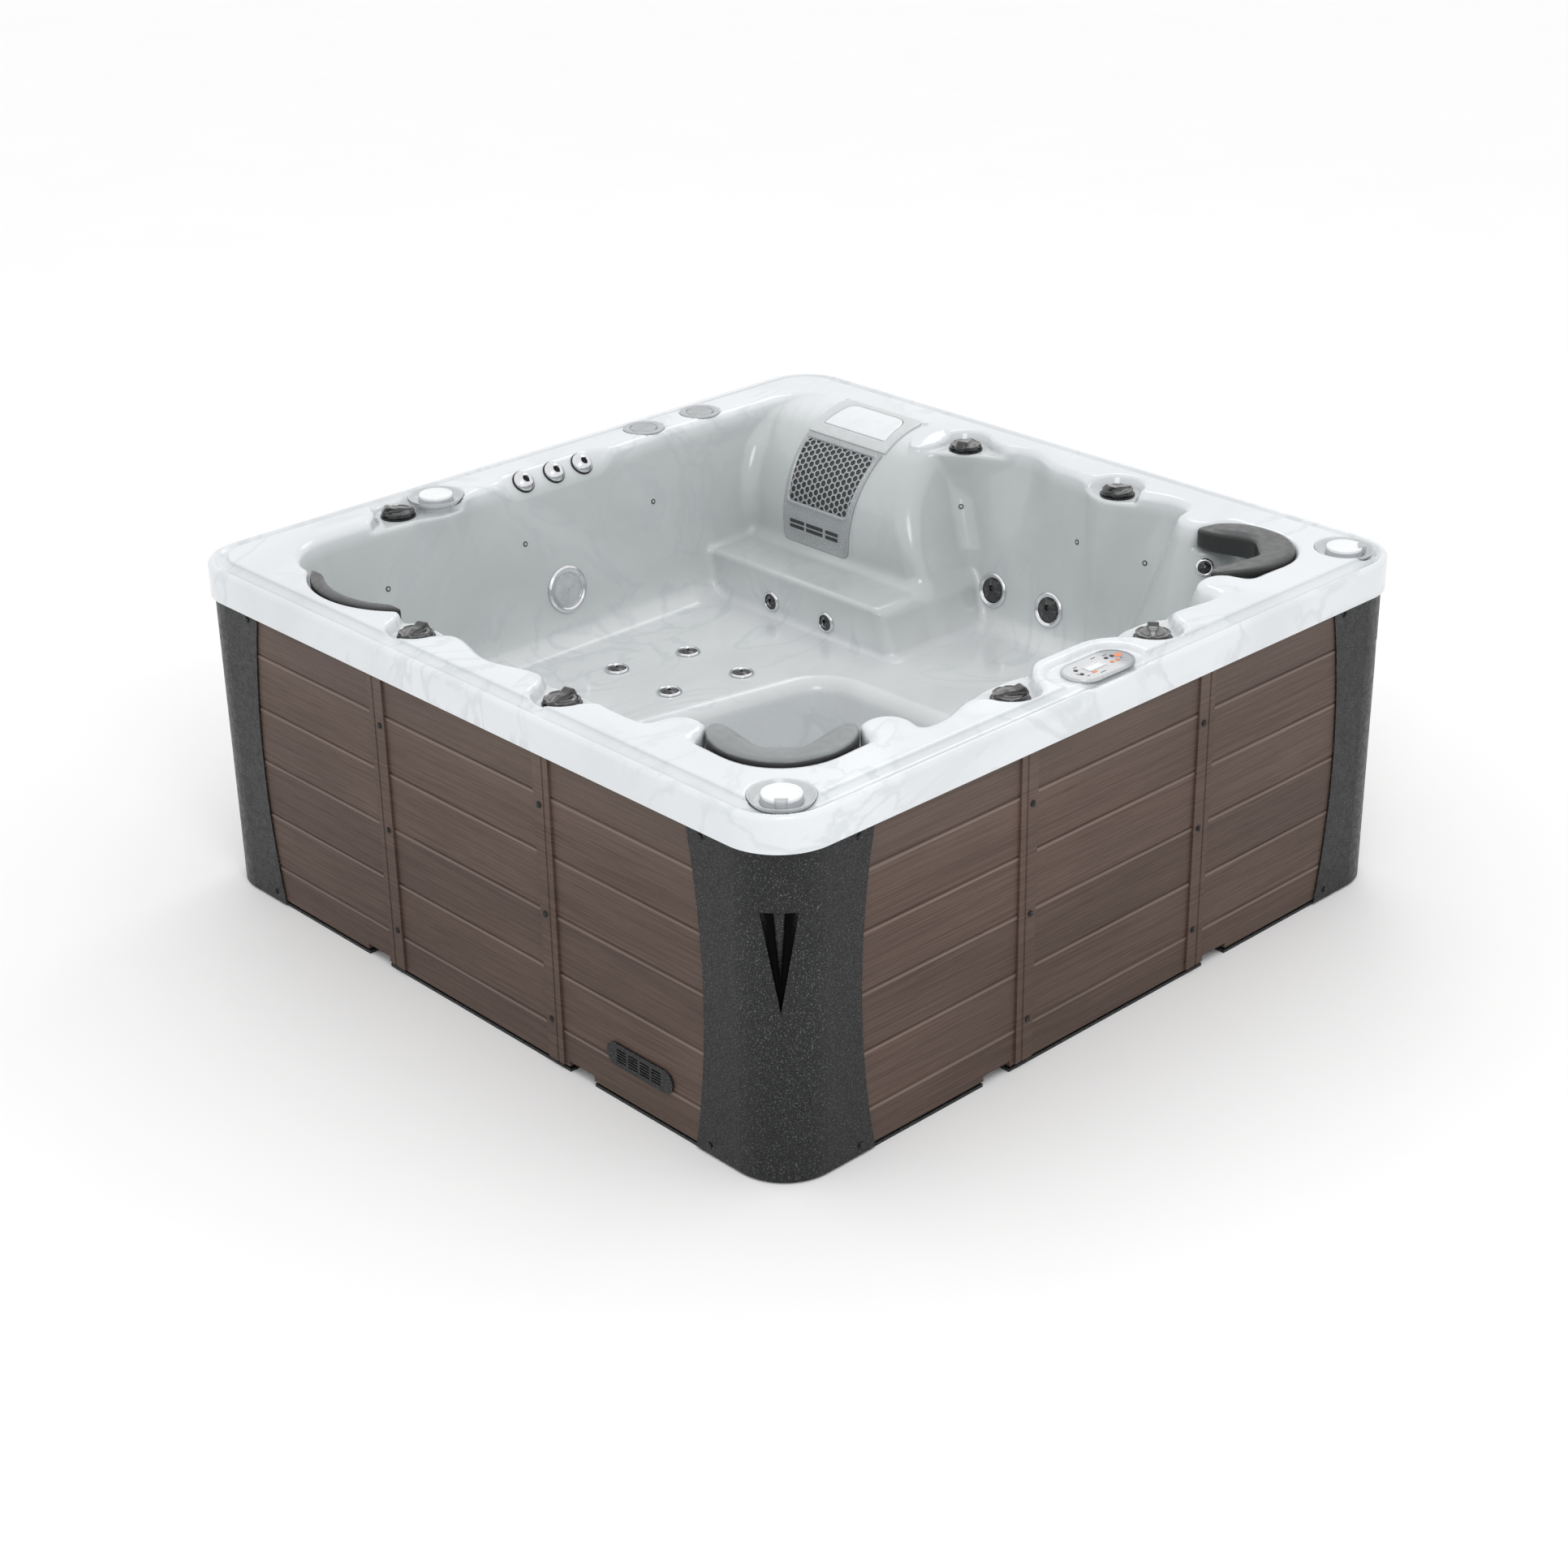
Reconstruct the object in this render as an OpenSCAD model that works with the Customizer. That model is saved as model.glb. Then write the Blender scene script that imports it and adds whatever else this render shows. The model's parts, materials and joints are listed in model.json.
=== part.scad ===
// Square hot tub: one moulded acrylic shell on a timber frame, with a plank-pattern
// skirt, a base pan, a corner filter, diverter and air knobs, jets, speakers and a
// control panel. Millimetres, +Z up, origin on the floor under the middle of the tub.
// Front is -Y, left is -X. The filter stands in the right rear corner.

/* [Overall] */
// Width of the square lip, outside
tub_w = 2200; // [2180:10:2240]
// Height of the deck above the floor
tub_h = 915; // [905:5:930]
// Height of the lip's outer face
lip_h = 95; // [85:5:100]
// Radius of the lip's corners in plan
lip_r = 150; // [140:5:170]
// Thickness of the moulded shell
shell_t = 8; // [6:1:9]

/* [Basin] */
// Height of the seats above the floor
seat_z = 420; // [410:5:430]
// Height of the footwell floor
footwell_z = 165; // [150:5:190]
// Half the basin's width at the deck
rim_half = 935; // [925:5:940]
// How far the basin walls lean in, per millimetre of depth
wall_draft = 0.185; // [0.17:0.005:0.2]
// Radius of the curve between the walls and the seats
seat_fillet = 56; // [50:1:58]
// Height of the filter corner's step
step_z = 555; // [545:5:565]

/* [Skirt] */
// Pitch of the planks
plank_pitch = 150.5; // [145:0.5:152]
// Height of the lowest plank groove
first_groove_z = 110; // [100:5:120]
// Distance of each batten from the middle of its side
batten_off = 313; // [290:1:330]
// Width of a batten
batten_w = 56; // [40:2:64]

/* [Fittings] */
// Diameter of a deck knob
knob_d = 88; // [80:2:92]
// Height of a deck knob
knob_h = 30; // [26:1:34]
// Travel of a pop-up speaker
popup_travel = 55; // [40:5:60]
// Travel of a panel button
button_travel = 1.2; // [0.8:0.1:1.4]

/* [Hidden] */
$fn = 48;

eps = 1;                                    // overshoot of a cut
half = tub_w / 2;
lip_z = tub_h - lip_h;                      // underside of the lip
skirt_half = half - 16;                     // outer face of the skirt panels
cover_half = half - 11;                     // outer face of the corner covers
panel_t = 14;
panel_z0 = 16;                              // bottom edge of the panels
panel_z1 = lip_z + 10;                      // top edge, behind the lip
draft_deg = atan(wall_draft);
wall_foot_z = seat_z + seat_fillet;         // where the flat wall meets the seat's curve
deck_under = tub_h - shell_t;
corner_dirs = [[-1, -1], [1, -1], [1, 1], [-1, 1]];

// Knob positions on the deck, in NODES order, and the pocket they sit in
knob_at = [[-506, 995], [-973, 289], [-975, -262], [-247, -965], [249, -967],
           [932, 279], [943, -267]];
pocket_r = 58;
pocket_z = tub_h - 30;
stem_r = 6;
running_gap = 0.05;

// Jets: position on the shell and ring radius
seat_jet_at = [[-82, 627], [134, 576], [139, 363], [-82, 409]];
riser_x = 480;
riser_jet_y = [604, 382];
riser_jet_z = 464;
wall_jet_y = [104, -104];
wall_jet_z = 528;
small_ring_r = 34;
riser_ring_r = 30;
big_ring_r = 50;

// Filter corner: the face is a quarter circle about a level axis
filter_y = 605;
filter_x = 950;
filter_r = 290;
filter_z = tub_h - filter_r;
step_flank_y = 180;                         // flank of the corner, at the step
flank_slope = 0.445;
plate_gap = 1;
plate_t = 5;
lid_front_x = 782;
lid_rear_x = 946.5;
lid_pin = [944.2, tub_h + 3.6];
lid_w = 310;
face_low_w = 258;                           // width of the face plate at its foot
window_z = [tub_h - 213, tub_h - 83];       // intake window behind the grille
weir_pin = [714, tub_h - 177];
cartridge_x = 835;

// Deck fittings
popup_at = [[-983, -993], [982, -978], [-386, 986]];
popup_r = 46;
speaker_at = [[368, 1007], [577, 1000]];
fountain_x = [-117, -10, 89];
ledge_y = tub_h + 60;                       // where the fountain ledge meets the deck
ledge_x = [-183, 150];
panel_at = [-8, -1017];
panel_half = 51;                            // half the straight part of the panel
panel_r = 48;
panel_z = tub_h - 10;
button_at = [[-62, 13], [-67, -10], [42, 12], [61, 11], [55, -13], [36, -12]];
screen_x = -13;                             // middle of the screen, along the panel
screen_size = [53, 24];
light_at = [-46, 574];
pillow_r = 165;
pillow_d = 771;                             // corner pillows: centre, on the diagonal
pillow_h = 57;
side_pillow_at = [-742, 585];
side_pillow_r = 270;

// Footwell outline at the seats, anticlockwise
footwell_pts = [[-335, -335], [300, -335], [290, 190], [-335, 312]];
footwell_mid = [-20, -40];
suction_x = [-140, 120];
suction_z = 270;

// ---------- helpers ----------

function unit(v) = v / norm(v);

// Points of one rounded corner, from the edge before it to the edge after it
function corner_arc(p0, p1, p2, r, n) =
  let (u = unit(p0 - p1), v = unit(p2 - p1))
  let (half_ang = acos(u * v) / 2)
  let (c = p1 + unit(u + v) * r / sin(half_ang))
  let (a0 = atan2(u[0], -u[1]), turn = 180 - 2 * half_ang)
  [for (i = [0:n - 1]) c + r * [cos(a0 + turn * i / (n - 1)), sin(a0 + turn * i / (n - 1))]];

// A closed outline with every corner rounded
function rounded(pts, r, n = 7) =
  let (k = len(pts))
  [for (i = [0:k - 1])
    each corner_arc(pts[(i + k - 1) % k], pts[i], pts[(i + 1) % k], r, n)];

function box_pts(h) = [[-h, -h], [h, -h], [h, h], [-h, h]];

function ring(pts, r, z) = [for (p = rounded(pts, r)) [p[0], p[1], z]];

// Solid through a list of rings, lowest first
module loft(rings) {
  n = len(rings[0]);
  m = len(rings);
  points = [for (r = rings) each r];
  sides = [for (j = [0:m - 2], i = [0:n - 1])
    each [[j * n + i, (j + 1) * n + i, (j + 1) * n + (i + 1) % n],
          [j * n + i, (j + 1) * n + (i + 1) % n, j * n + (i + 1) % n]]];
  bottom = [for (i = [0:n - 1]) i];
  top = [for (i = [n - 1:-1:0]) (m - 1) * n + i];
  polyhedron(points, concat(sides, [bottom], [top]));
}

module rounded_square(w, r) {
  square([w - 2 * r, w], center = true);
  square([w, w - 2 * r], center = true);
  for (d = corner_dirs) translate(d * (w / 2 - r)) circle(r);
}

module slab(w, r, z0, z1) {
  translate([0, 0, z0]) linear_extrude(z1 - z0) rounded_square(w, r);
}

// Box from its low corner to its high corner
module block(lo, hi) {
  translate(lo) cube(hi - lo);
}

// Extrude an X-Z outline from y0 to y1
module along_y(y0, y1) {
  translate([0, y1, 0]) rotate([90, 0, 0]) linear_extrude(y1 - y0) children();
}

// Extrude a Y-Z outline from x0 to x1
module along_x(x0, x1) {
  translate([x0, 0, 0]) rotate([90, 0, 90]) linear_extrude(x1 - x0) children();
}

// Copies on the four sides, turned about Z
module four_sides() {
  for (a = [0:90:270]) rotate([0, 0, a]) children();
}

// Upright ring
module tube(r_out, r_in, z0, z1) {
  difference() {
    translate([0, 0, z0]) cylinder(r = r_out, h = z1 - z0);
    translate([0, 0, z0 - eps]) cylinder(r = r_in, h = z1 - z0 + 2 * eps);
  }
}

// Half the basin's width at a height on the flat part of the wall
function wall_at(z) = rim_half - (tub_h - z) * wall_draft;

// Places for pieces on the shell: +Z of the piece points out of the surface
module on_seat(p) {
  translate([p[0], p[1], seat_z]) children();
}

module on_riser(y) {
  translate([riser_x, y, riser_jet_z]) rotate([0, -90, 0]) children();
}

module on_right_wall(y, z) {
  translate([wall_at(z), y, z]) rotate([0, -90 + draft_deg, 0]) children();
}

module on_rear_wall(x, z) {
  translate([x, wall_at(z), z]) rotate([90 - draft_deg, 0, 0]) children();
}

module on_ledge(x) {
  translate([x, ledge_y - 25, tub_h - 25]) rotate([45, 0, 0]) children();
}

// The near wall of the footwell leans in by 6 degrees
module on_footwell_wall(x) {
  translate([x, -321, suction_z]) rotate([-84, 0, 0]) children();
}

// ---------- shell ----------

// Basin above the seats, grown by t outwards and downwards
module basin(t, top) {
  foot = wall_at(wall_foot_z) - seat_fillet;
  rings = [for (a = [90:-18:0])
    ring(box_pts(foot + (seat_fillet + t) * cos(a)), 175 + t,
         wall_foot_z - (seat_fillet + t) * sin(a))];
  loft(concat(rings, [ring(box_pts(wall_at(top) + t), 135 + t, top)]));
}

module footwell(t, top) {
  sizes = [[footwell_z - t, 0.84], [footwell_z + 12, 0.9], [footwell_z + 40, 0.93],
           [seat_z - 14, 1], [top, 1.02]];
  loft([for (s = sizes)
    ring([for (p = footwell_pts)
            footwell_mid + (p - footwell_mid) * s[1] + t * [sign(p[0]), sign(p[1])]],
         110 * s[1] + t, s[0])]);
}

// X-Z outline of the filter corner, for a face of radius r
module filter_profile(r) {
  intersection() {
    translate([filter_x, filter_z]) circle(r, $fn = 96);
    translate([filter_x - r - eps, filter_z]) square([r + eps, r + eps]);
  }
  translate([filter_x - r, step_z - 60]) square([r, filter_z - step_z + 60]);
}

function flank_y(z) = step_flank_y + (z - step_z) * flank_slope;

// Filter corner and its step, shrunk by t, behind one sloping flank
module filter_corner(t) {
  z0 = seat_z - 60;
  z1 = tub_h + 20;
  difference() {
    union() {
      along_y(0, half) {
        filter_profile(filter_r - t);
        translate([filter_x - eps, z0])
          square([half - filter_x, filter_z + filter_r - t - z0]);
      }
      block([riser_x + t, 0, z0], [half, half, step_z - t]);
    }
    block([half - 150, -eps, tub_h - shell_t - t], [half + eps, half + eps, z1]);
    along_x(0, half + eps) translate([t * norm([1, flank_slope]), 0])
      polygon([[-20, z0 - eps], [flank_y(z0 - eps), z0 - eps], [flank_y(z1), z1], [-20, z1]]);
  }
}

// Space that water and bathers use
module basin_space() {
  difference() {
    union() {
      basin(0, tub_h + eps);
      footwell(0, seat_z + eps);
    }
    filter_corner(0);
  }
}

// Lip, shoulder and deck, hollow underneath
module lip_and_deck() {
  difference() {
    union() {
      slab(tub_w, lip_r, lip_z, tub_h - 15);
      slab(tub_w - 14, lip_r - 7, tub_h - 16, tub_h - 7);
      slab(tub_w - 110, lip_r - 55, tub_h - 8, tub_h);
    }
    slab(tub_w - 2 * shell_t, lip_r - shell_t, lip_z - eps, tub_h - 7 - shell_t);
    slab(tub_w - 110 - 2 * shell_t, lip_r - 55 - shell_t, tub_h - 17, deck_under);
  }
}

// Cup under each knob; the ones on the right stand on a column in the basin
module knob_pockets() {
  for (p = knob_at) translate([p[0], p[1], pocket_z - shell_t])
    cylinder(r = pocket_r + shell_t, h = 30);
  for (i = [5, 6]) translate([knob_at[i][0], knob_at[i][1], seat_z - 4])
    cylinder(r = pocket_r + shell_t, h = pocket_z - seat_z);
}

module knob_pocket_cuts() {
  for (p = knob_at) translate([p[0], p[1], 0]) {
    translate([0, 0, pocket_z]) cylinder(r = pocket_r, h = 40);
    translate([0, 0, pocket_z - 20]) cylinder(r = 20, h = 30);
  }
  for (i = [5, 6]) translate([knob_at[i][0], knob_at[i][1], seat_z - 20])
    cylinder(r = pocket_r, h = pocket_z - shell_t - seat_z + 20);
}

// Sloping ledge for the fountains on the rear rim, closed at both ends
module ledge_body() {
  x0 = ledge_x[0];
  x1 = ledge_x[1];
  translate([0, ledge_y, tub_h]) {
    along_x(x0 - 10, x1 + 10) polygon([[-1, 1], [-47, -45], [-47, -53], [-39, -53], [8, -6],
                                       [21, -6], [21, -0.5], [11, -0.5]]);
    for (x = [x0 - 10, x1]) along_x(x, x + 10)
      polygon([[-48, -53], [-48, -1], [8, -1], [8, -6], [-39, -53]]);
  }
}

module ledge_cut() {
  translate([0, ledge_y, tub_h]) along_x(ledge_x[0], ledge_x[1])
    polygon([[2, 2], [-60, -60], [-84, -60], [-84, 2]]);
}

module panel_outline(grow) {
  for (s = [-1, 1]) translate([s * panel_half, 0]) circle(panel_r + grow);
  square([2 * panel_half, 2 * (panel_r + grow)], center = true);
}

module deck_pads() {
  for (p = popup_at) translate([p[0], p[1], tub_h - 20]) cylinder(r = 80, h = 20);
  translate([panel_at[0], panel_at[1], panel_z - shell_t]) linear_extrude(14) panel_outline(16);
}

module deck_cuts() {
  for (i = [0:2]) translate([popup_at[i][0], popup_at[i][1], 0]) {
    translate([0, 0, tub_h - 6]) cylinder(r = 70, h = 10);
    translate([0, 0, tub_h - 42]) cylinder(r = popup_r + 5, h = 50);
  }
  // Drain channels of the two front pop-ups run out over the corner
  for (i = [0, 1]) translate([popup_at[i][0], popup_at[i][1], tub_h - 6])
    rotate([0, 0, i == 0 ? -135 : -45]) translate([60, -12, 0]) cube([60, 24, 10]);
  for (p = speaker_at) translate([p[0], p[1], tub_h - 4]) cylinder(r = 60, h = 8);
  for (p = speaker_at) translate([p[0], p[1], tub_h - 20]) cylinder(r = 43, h = 30);
  translate([panel_at[0], panel_at[1], panel_z]) linear_extrude(20) panel_outline(6);
  translate([panel_at[0], panel_at[1], panel_z - 20]) linear_extrude(30) square([150, 50], center = true);
}

// Holes behind the jets, light, fountains and suctions
module fitting_holes() {
  for (p = seat_jet_at) on_seat(p) translate([0, 0, -20]) cylinder(r = 22, h = 30);
  for (y = riser_jet_y) on_riser(y) translate([0, 0, -20]) cylinder(r = 20, h = 30);
  for (y = wall_jet_y) on_right_wall(y, wall_jet_z) translate([0, 0, -20]) cylinder(r = 34, h = 40);
  on_rear_wall(light_at[0], light_at[1]) translate([0, 0, -20]) cylinder(r = 50, h = 40);
  for (x = fountain_x) on_ledge(x) translate([0, 0, -30]) cylinder(r = 20, h = 50);
  for (x = suction_x) on_footwell_wall(x) translate([0, 0, -30]) cylinder(r = 38, h = 60);
}

// Window for the filter grille and the one under the lid
module filter_openings() {
  block([filter_x - filter_r - 20, filter_y - 100, window_z[0]],
        [filter_x - 200, filter_y + 100, window_z[1]]);
  block([800, filter_y - 118, tub_h - 115], [926, filter_y + 118, tub_h + 20]);
}

// Scoops in the rim behind the head pillows
module pillow_scoops(grow, z) {
  for (s = [-1, 1]) translate([s * pillow_d, -pillow_d, z])
    cylinder(r = pillow_r + 6 + grow, h = tub_h + 10 - z);
  translate([side_pillow_at[0], side_pillow_at[1], z])
    cylinder(r = side_pillow_r + 6 + grow, h = tub_h + 10 - z);
}

module acrylic_shell() color("#eef2f4") {
  difference() {
    union() {
      difference() {
        union() {
          lip_and_deck();
          difference() {
            union() {
              basin(shell_t, tub_h - 5);
              footwell(shell_t, seat_z - 4);
            }
            filter_corner(shell_t);
          }
          intersection() {
            pillow_scoops(shell_t, tub_h - pillow_h - 8 - shell_t);
            slab(tub_w - 40, 100, 800, tub_h - 2);
          }
          ledge_body();
        }
        basin_space();
        pillow_scoops(0, tub_h - pillow_h - 8);
      }
      knob_pockets();
      deck_pads();
    }
    knob_pocket_cuts();
    deck_cuts();
    ledge_cut();
    fitting_holes();
    filter_openings();
  }
}

// ---------- base, frame and skirt ----------

fork_off = 400;                             // fork channels, from the middle
fork_w = 90;
fork_h = 28;

module fork_channels(grow, z0) {
  for (s = [-1, 1]) {
    block([s * fork_off - fork_w / 2 - grow, -half, z0],
          [s * fork_off + fork_w / 2 + grow, half, fork_h + grow]);
    block([-half, s * fork_off - fork_w / 2 - grow, z0],
          [half, s * fork_off + fork_w / 2 + grow, fork_h + grow]);
  }
}

module base_pan() color("#1d1f20") {
  difference() {
    union() {
      slab(2 * skirt_half - 4, 130, 0, 8);
      difference() {
        slab(2 * skirt_half - 40, 105, 0, 44);
        slab(2 * skirt_half - 52, 99, 7, 45);
      }
      intersection() {
        fork_channels(5, 0);
        slab(2 * skirt_half - 44, 100, 0, 60);
      }
      translate([700, -880, 0]) cylinder(r = 24, h = 30);
    }
    fork_channels(0, -eps);
    translate([700, -880, -eps]) cylinder(r = 17, h = 40);
    // Clearance for the low screws of the corner covers
    four_sides() for (s = [-1, 1])
      translate([s * cover_screw_off, -half + 60, cover_screw_z[0]])
        rotate([90, 0, 0]) cylinder(r = 3.2, h = 50);
  }
}

frame_in = skirt_half - panel_t - 46;       // inner face of the frame
frame_out = skirt_half - panel_t - 13;      // outer face
pan_top = 8.3;                              // just above the pan's floor
post_off = [-880, -313, 313, 880];

// Posts and rails, and blocks under the footwell
module timber_frame() color("#c9a877") {
  four_sides() {
    for (x = post_off) block([x - 25, -frame_out, pan_top], [x + 25, -frame_in, 755]);
    block([-905, -frame_out, 756], [905, -frame_in, 805]);
    for (i = [0:2]) block([post_off[i] + 26, -frame_out, 50], [post_off[i + 1] - 26, -frame_in, 95]);
  }
  for (p = [[-250, -250], [180, -250], [-250, 170], [180, 120]])
    block([p[0] - 40, p[1] - 40, pan_top], [p[0] + 40, p[1] + 40, footwell_z - shell_t - 1]);
}

// One plank-faced panel between two offsets on the front side
module plank_panel(x0, x1) {
  difference() {
    block([x0, -skirt_half, panel_z0], [x1, -skirt_half + panel_t, panel_z1]);
    for (i = [0:4]) translate([x0 - eps, -skirt_half, first_groove_z + i * plank_pitch])
      rotate([45, 0, 0]) cube([x1 - x0 + 2 * eps, 5, 5], center = false);
    fork_notches();
    for (s = [-1, 1], z = cover_screw_z) translate([s * cover_screw_off, -half + 40, z])
      rotate([90, 0, 0]) cylinder(r = 3.2, h = 40);
  }
}

module fork_notches() {
  for (s = [-1, 1]) block([s * fork_off - fork_w / 2, -half, 0],
                          [s * fork_off + fork_w / 2, -half + 60, fork_h + 2]);
}

module skirt_side() {
  gap = 2;
  inner = batten_off - batten_w / 2 + 8;
  outer = batten_off + batten_w / 2 - 8;
  plank_panel(-inner + gap, inner - gap);
  plank_panel(outer + gap, 930);
  plank_panel(-930, -outer - gap);
}

module skirt_front() color("#5c4236") skirt_side();
module skirt_right() color("#5c4236") rotate([0, 0, 90]) skirt_side();
module skirt_rear() color("#5c4236") rotate([0, 0, 180]) skirt_side();

// The left side has the slot behind the vent
vent_at = [617, 130];                       // offset along the side, height
vent_len = 227;
vent_h = 60;

module vent_outline(grow) {
  r = vent_h / 2 + grow;
  for (s = [-1, 1]) translate([vent_at[0] + s * (vent_len - vent_h) / 2, vent_at[1]]) circle(r);
  translate([vent_at[0], vent_at[1]]) square([vent_len - vent_h, 2 * r], center = true);
}

module skirt_left() color("#5c4236") rotate([0, 0, -90]) difference() {
  skirt_side();
  along_y(-half, -half + 60) vent_outline(-8);
}

// Rounded strip over each joint between panels
module battens() color("#5f4638") four_sides() {
  for (s = [-1, 1]) difference() {
    block([s * batten_off - batten_w / 2, -skirt_half - 6, panel_z0 + 2],
          [s * batten_off + batten_w / 2, -skirt_half - 0.3, panel_z1]);
    fork_notches();
    translate([s * (batten_off + 8), -skirt_half - 6, panel_z0 - eps]) cylinder(r = 3, h = lip_z + 60);
    for (z = screw_z) translate([s * screw_off, -half + 30, z]) rotate([90, 0, 0]) cylinder(r = 3, h = 40);
  }
}

screw_z = [127, 406, 687];
screw_off = 303;
cover_screw_off = 850;
cover_screw_z = [30, 802];

// Domed screw, head outwards along -Y, with the head's underside at -y
module dome_screw(y) {
  rotate([90, 0, 0]) {
    translate([0, 0, frame_out + 0.6]) cylinder(r = 2.6, h = y - frame_out);
    translate([0, 0, y]) cylinder(r = 8, h = 2);
    intersection() {
      translate([0, 0, y - 6]) sphere(r = 11);
      translate([0, 0, y + 2]) cylinder(r = 8, h = 8);
    }
  }
}

module skirt_screws() color("#111213") {
  four_sides() {
    for (s = [-1, 1], z = screw_z) translate([s * screw_off, 0, z]) dome_screw(skirt_half + 6.6);
    for (s = [-1, 1], z = cover_screw_z) translate([s * cover_screw_off, 0, z]) dome_screw(cover_half + 0.4);
  }
}

// Corner cover: a rounded angle whose edges are hollow curves, with a spike recess
cover_edge_mid = 845;                       // edge of the cover, halfway up
cover_edge_end = 806;                       // edge at its two ends
cover_edge_z = 410;
cover_edge_r = (pow(cover_edge_z - 10, 2) + pow(cover_edge_mid - cover_edge_end, 2))
               / (2 * (cover_edge_mid - cover_edge_end));
cover_t = 4;
spike_top = 678;
spike_tip = 432;
spike_w = 84;

module corner_cover() {
  difference() {
    union() {
      intersection() {
        difference() {
          slab(2 * cover_half, lip_r - 13, 6, lip_z - 1);
          slab(2 * (cover_half - cover_t), lip_r - 13 - cover_t, 0, lip_z + 5);
        }
        block([790, -half, 0], [half, -790, lip_z + 5]);
      }
      // Backing behind the spike
      intersection() {
        rotate([0, 0, -45]) block([1452, -50, spike_tip - 12], [1500, 50, spike_top + 12]);
        slab(2 * cover_half, lip_r - 13, 6, lip_z - 1);
      }
    }
    for (m = [0, 1]) mirror([m, m, 0]) translate([cover_edge_mid - cover_edge_r, -half - 10, cover_edge_z])
      rotate([-90, 0, 0]) cylinder(r = cover_edge_r, h = 60, $fn = 180);
    rotate([0, 0, -45]) along_x(1470, 1600)
      polygon([[-spike_w / 2, spike_top], [spike_w / 2, spike_top], [0, spike_tip]]);
    for (m = [0, 1]) mirror([m, m, 0]) for (z = cover_screw_z)
      translate([cover_screw_off, -cover_half + 20, z]) rotate([90, 0, 0]) cylinder(r = 3, h = 40);
  }
  // Spike standing in the recess
  rotate([0, 0, -45]) translate([1467, 0, spike_tip + 8])
    cylinder(r1 = 1, r2 = 15, h = spike_top - spike_tip - 10);
}

module corner_covers() color("#26292b") four_sides() corner_cover();

module vent_grille() color("#17191a") rotate([0, 0, -90]) difference() {
  union() {
    along_y(-skirt_half - 6, -skirt_half - 0.3) vent_outline(0);
    along_y(-skirt_half - 1, -skirt_half + 10) vent_outline(-10);
  }
  for (i = [0:3], j = [0:4]) translate([vent_at[0] - 78 + 40 * i, -half, vent_at[1] - 17 + 7.5 * j])
    cube([32, 60, 4]);
}

// ---------- filter ----------

// Band of the filter face between two radii
module face_band(r0, r1) {
  difference() {
    filter_profile(r1);
    filter_profile(r0);
    translate([filter_x - r0, step_z - 70]) square([r0 + 20, 100]);
  }
}

// Y-Z outline that narrows downwards, with heights from the deck
module taper(top_half, top_z, low_half, low_z) {
  translate([filter_y, tub_h]) polygon([[-top_half, top_z], [top_half, top_z],
                                        [low_half, low_z], [-low_half, low_z]]);
}

// Outline of the grille, shrunk by gap
module grille_frame(gap) {
  taper(139 - gap, -63 - gap, 118 - gap, -225 + gap);
}

module filter_faceplate() color("#b4b9bb") {
  r0 = filter_r + plate_gap;
  difference() {
    intersection() {
      along_y(filter_y - lid_w, filter_y + lid_w) face_band(r0, r0 + plate_t);
      along_x(600, lid_front_x) taper(lid_w / 2, -15, face_low_w / 2, -343);
    }
    along_x(600, 900) grille_frame(0);
    for (i = [-1:1], z = [-293, -279]) translate([600, filter_y + 64 * i - 27, tub_h + z])
      cube([100, 54, 7]);
  }
}

// Honeycomb intake grille
grille_cols = 12;
grille_rows = 9;

module filter_grille() color("#c6cbcd") {
  r0 = filter_r + plate_gap;
  pitch = 17;
  intersection() {
    along_y(filter_y - 160, filter_y + 160) face_band(r0, r0 + plate_t + 1);
    along_x(600, 900) difference() {
      grille_frame(0.6);
      for (i = [0:grille_cols - 1], j = [0:grille_rows - 1])
        translate([filter_y + (i - (grille_cols - 1) / 2 + (j % 2) / 2 - 0.25) * pitch,
                   tub_h - 207 + j * pitch * 0.92]) circle(r = 7, $fn = 6);
    }
  }
}

module filter_housing() color("#9aa0a3") {
  floor_z = tub_h - 345;
  outer_r = filter_r - shell_t - 4;
  difference() {
    intersection() {
      along_y(filter_y - 112, filter_y + 112) filter_profile(outer_r);
      block([672, 0, floor_z], [922, half, tub_h - 15]);
    }
    intersection() {
      along_y(filter_y - 108, filter_y + 108) filter_profile(outer_r - 4);
      block([676, 0, floor_z + 4], [918, half, tub_h]);
    }
    block([600, filter_y - 98, window_z[0] + 2], [744, filter_y + 98, window_z[1] - 4]);
    block([805, filter_y - 108, tub_h - 65], [918, filter_y + 108, tub_h + 5]);
    // Outlet to the pump
    translate([cartridge_x, filter_y, floor_z - 10]) cylinder(r = 22, h = 30);
    // Bearings of the weir flap
    for (s = [-1, 1]) translate([weir_pin[0], filter_y + s * 108, weir_pin[1]])
      rotate([90, 0, 0]) cylinder(r = 2 + running_gap, h = 5, center = true);
  }
  // Hinge brackets of the lid, with a pin each
  for (s = [-1, 1]) translate([lid_pin[0], filter_y + s * (lid_w / 2 + 4), lid_pin[1]]) {
    block([-4, -3, tub_h - lid_pin[1] + 0.1], [6, 3, 4]);
    rotate([s * 90, 0, 0]) cylinder(r = 1.5, h = 9);
  }
}

module filter_cartridge() color("#dfe6ea") translate([cartridge_x, filter_y, tub_h - 338])
  difference() {
    union() {
      cylinder(r = 70, h = 12);
      cylinder(r = 64, h = 205);
      translate([0, 0, 202]) cylinder(r = 70, h = 12);
    }
    translate([0, 0, -eps]) cylinder(r = 24, h = 196);
  }

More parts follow.
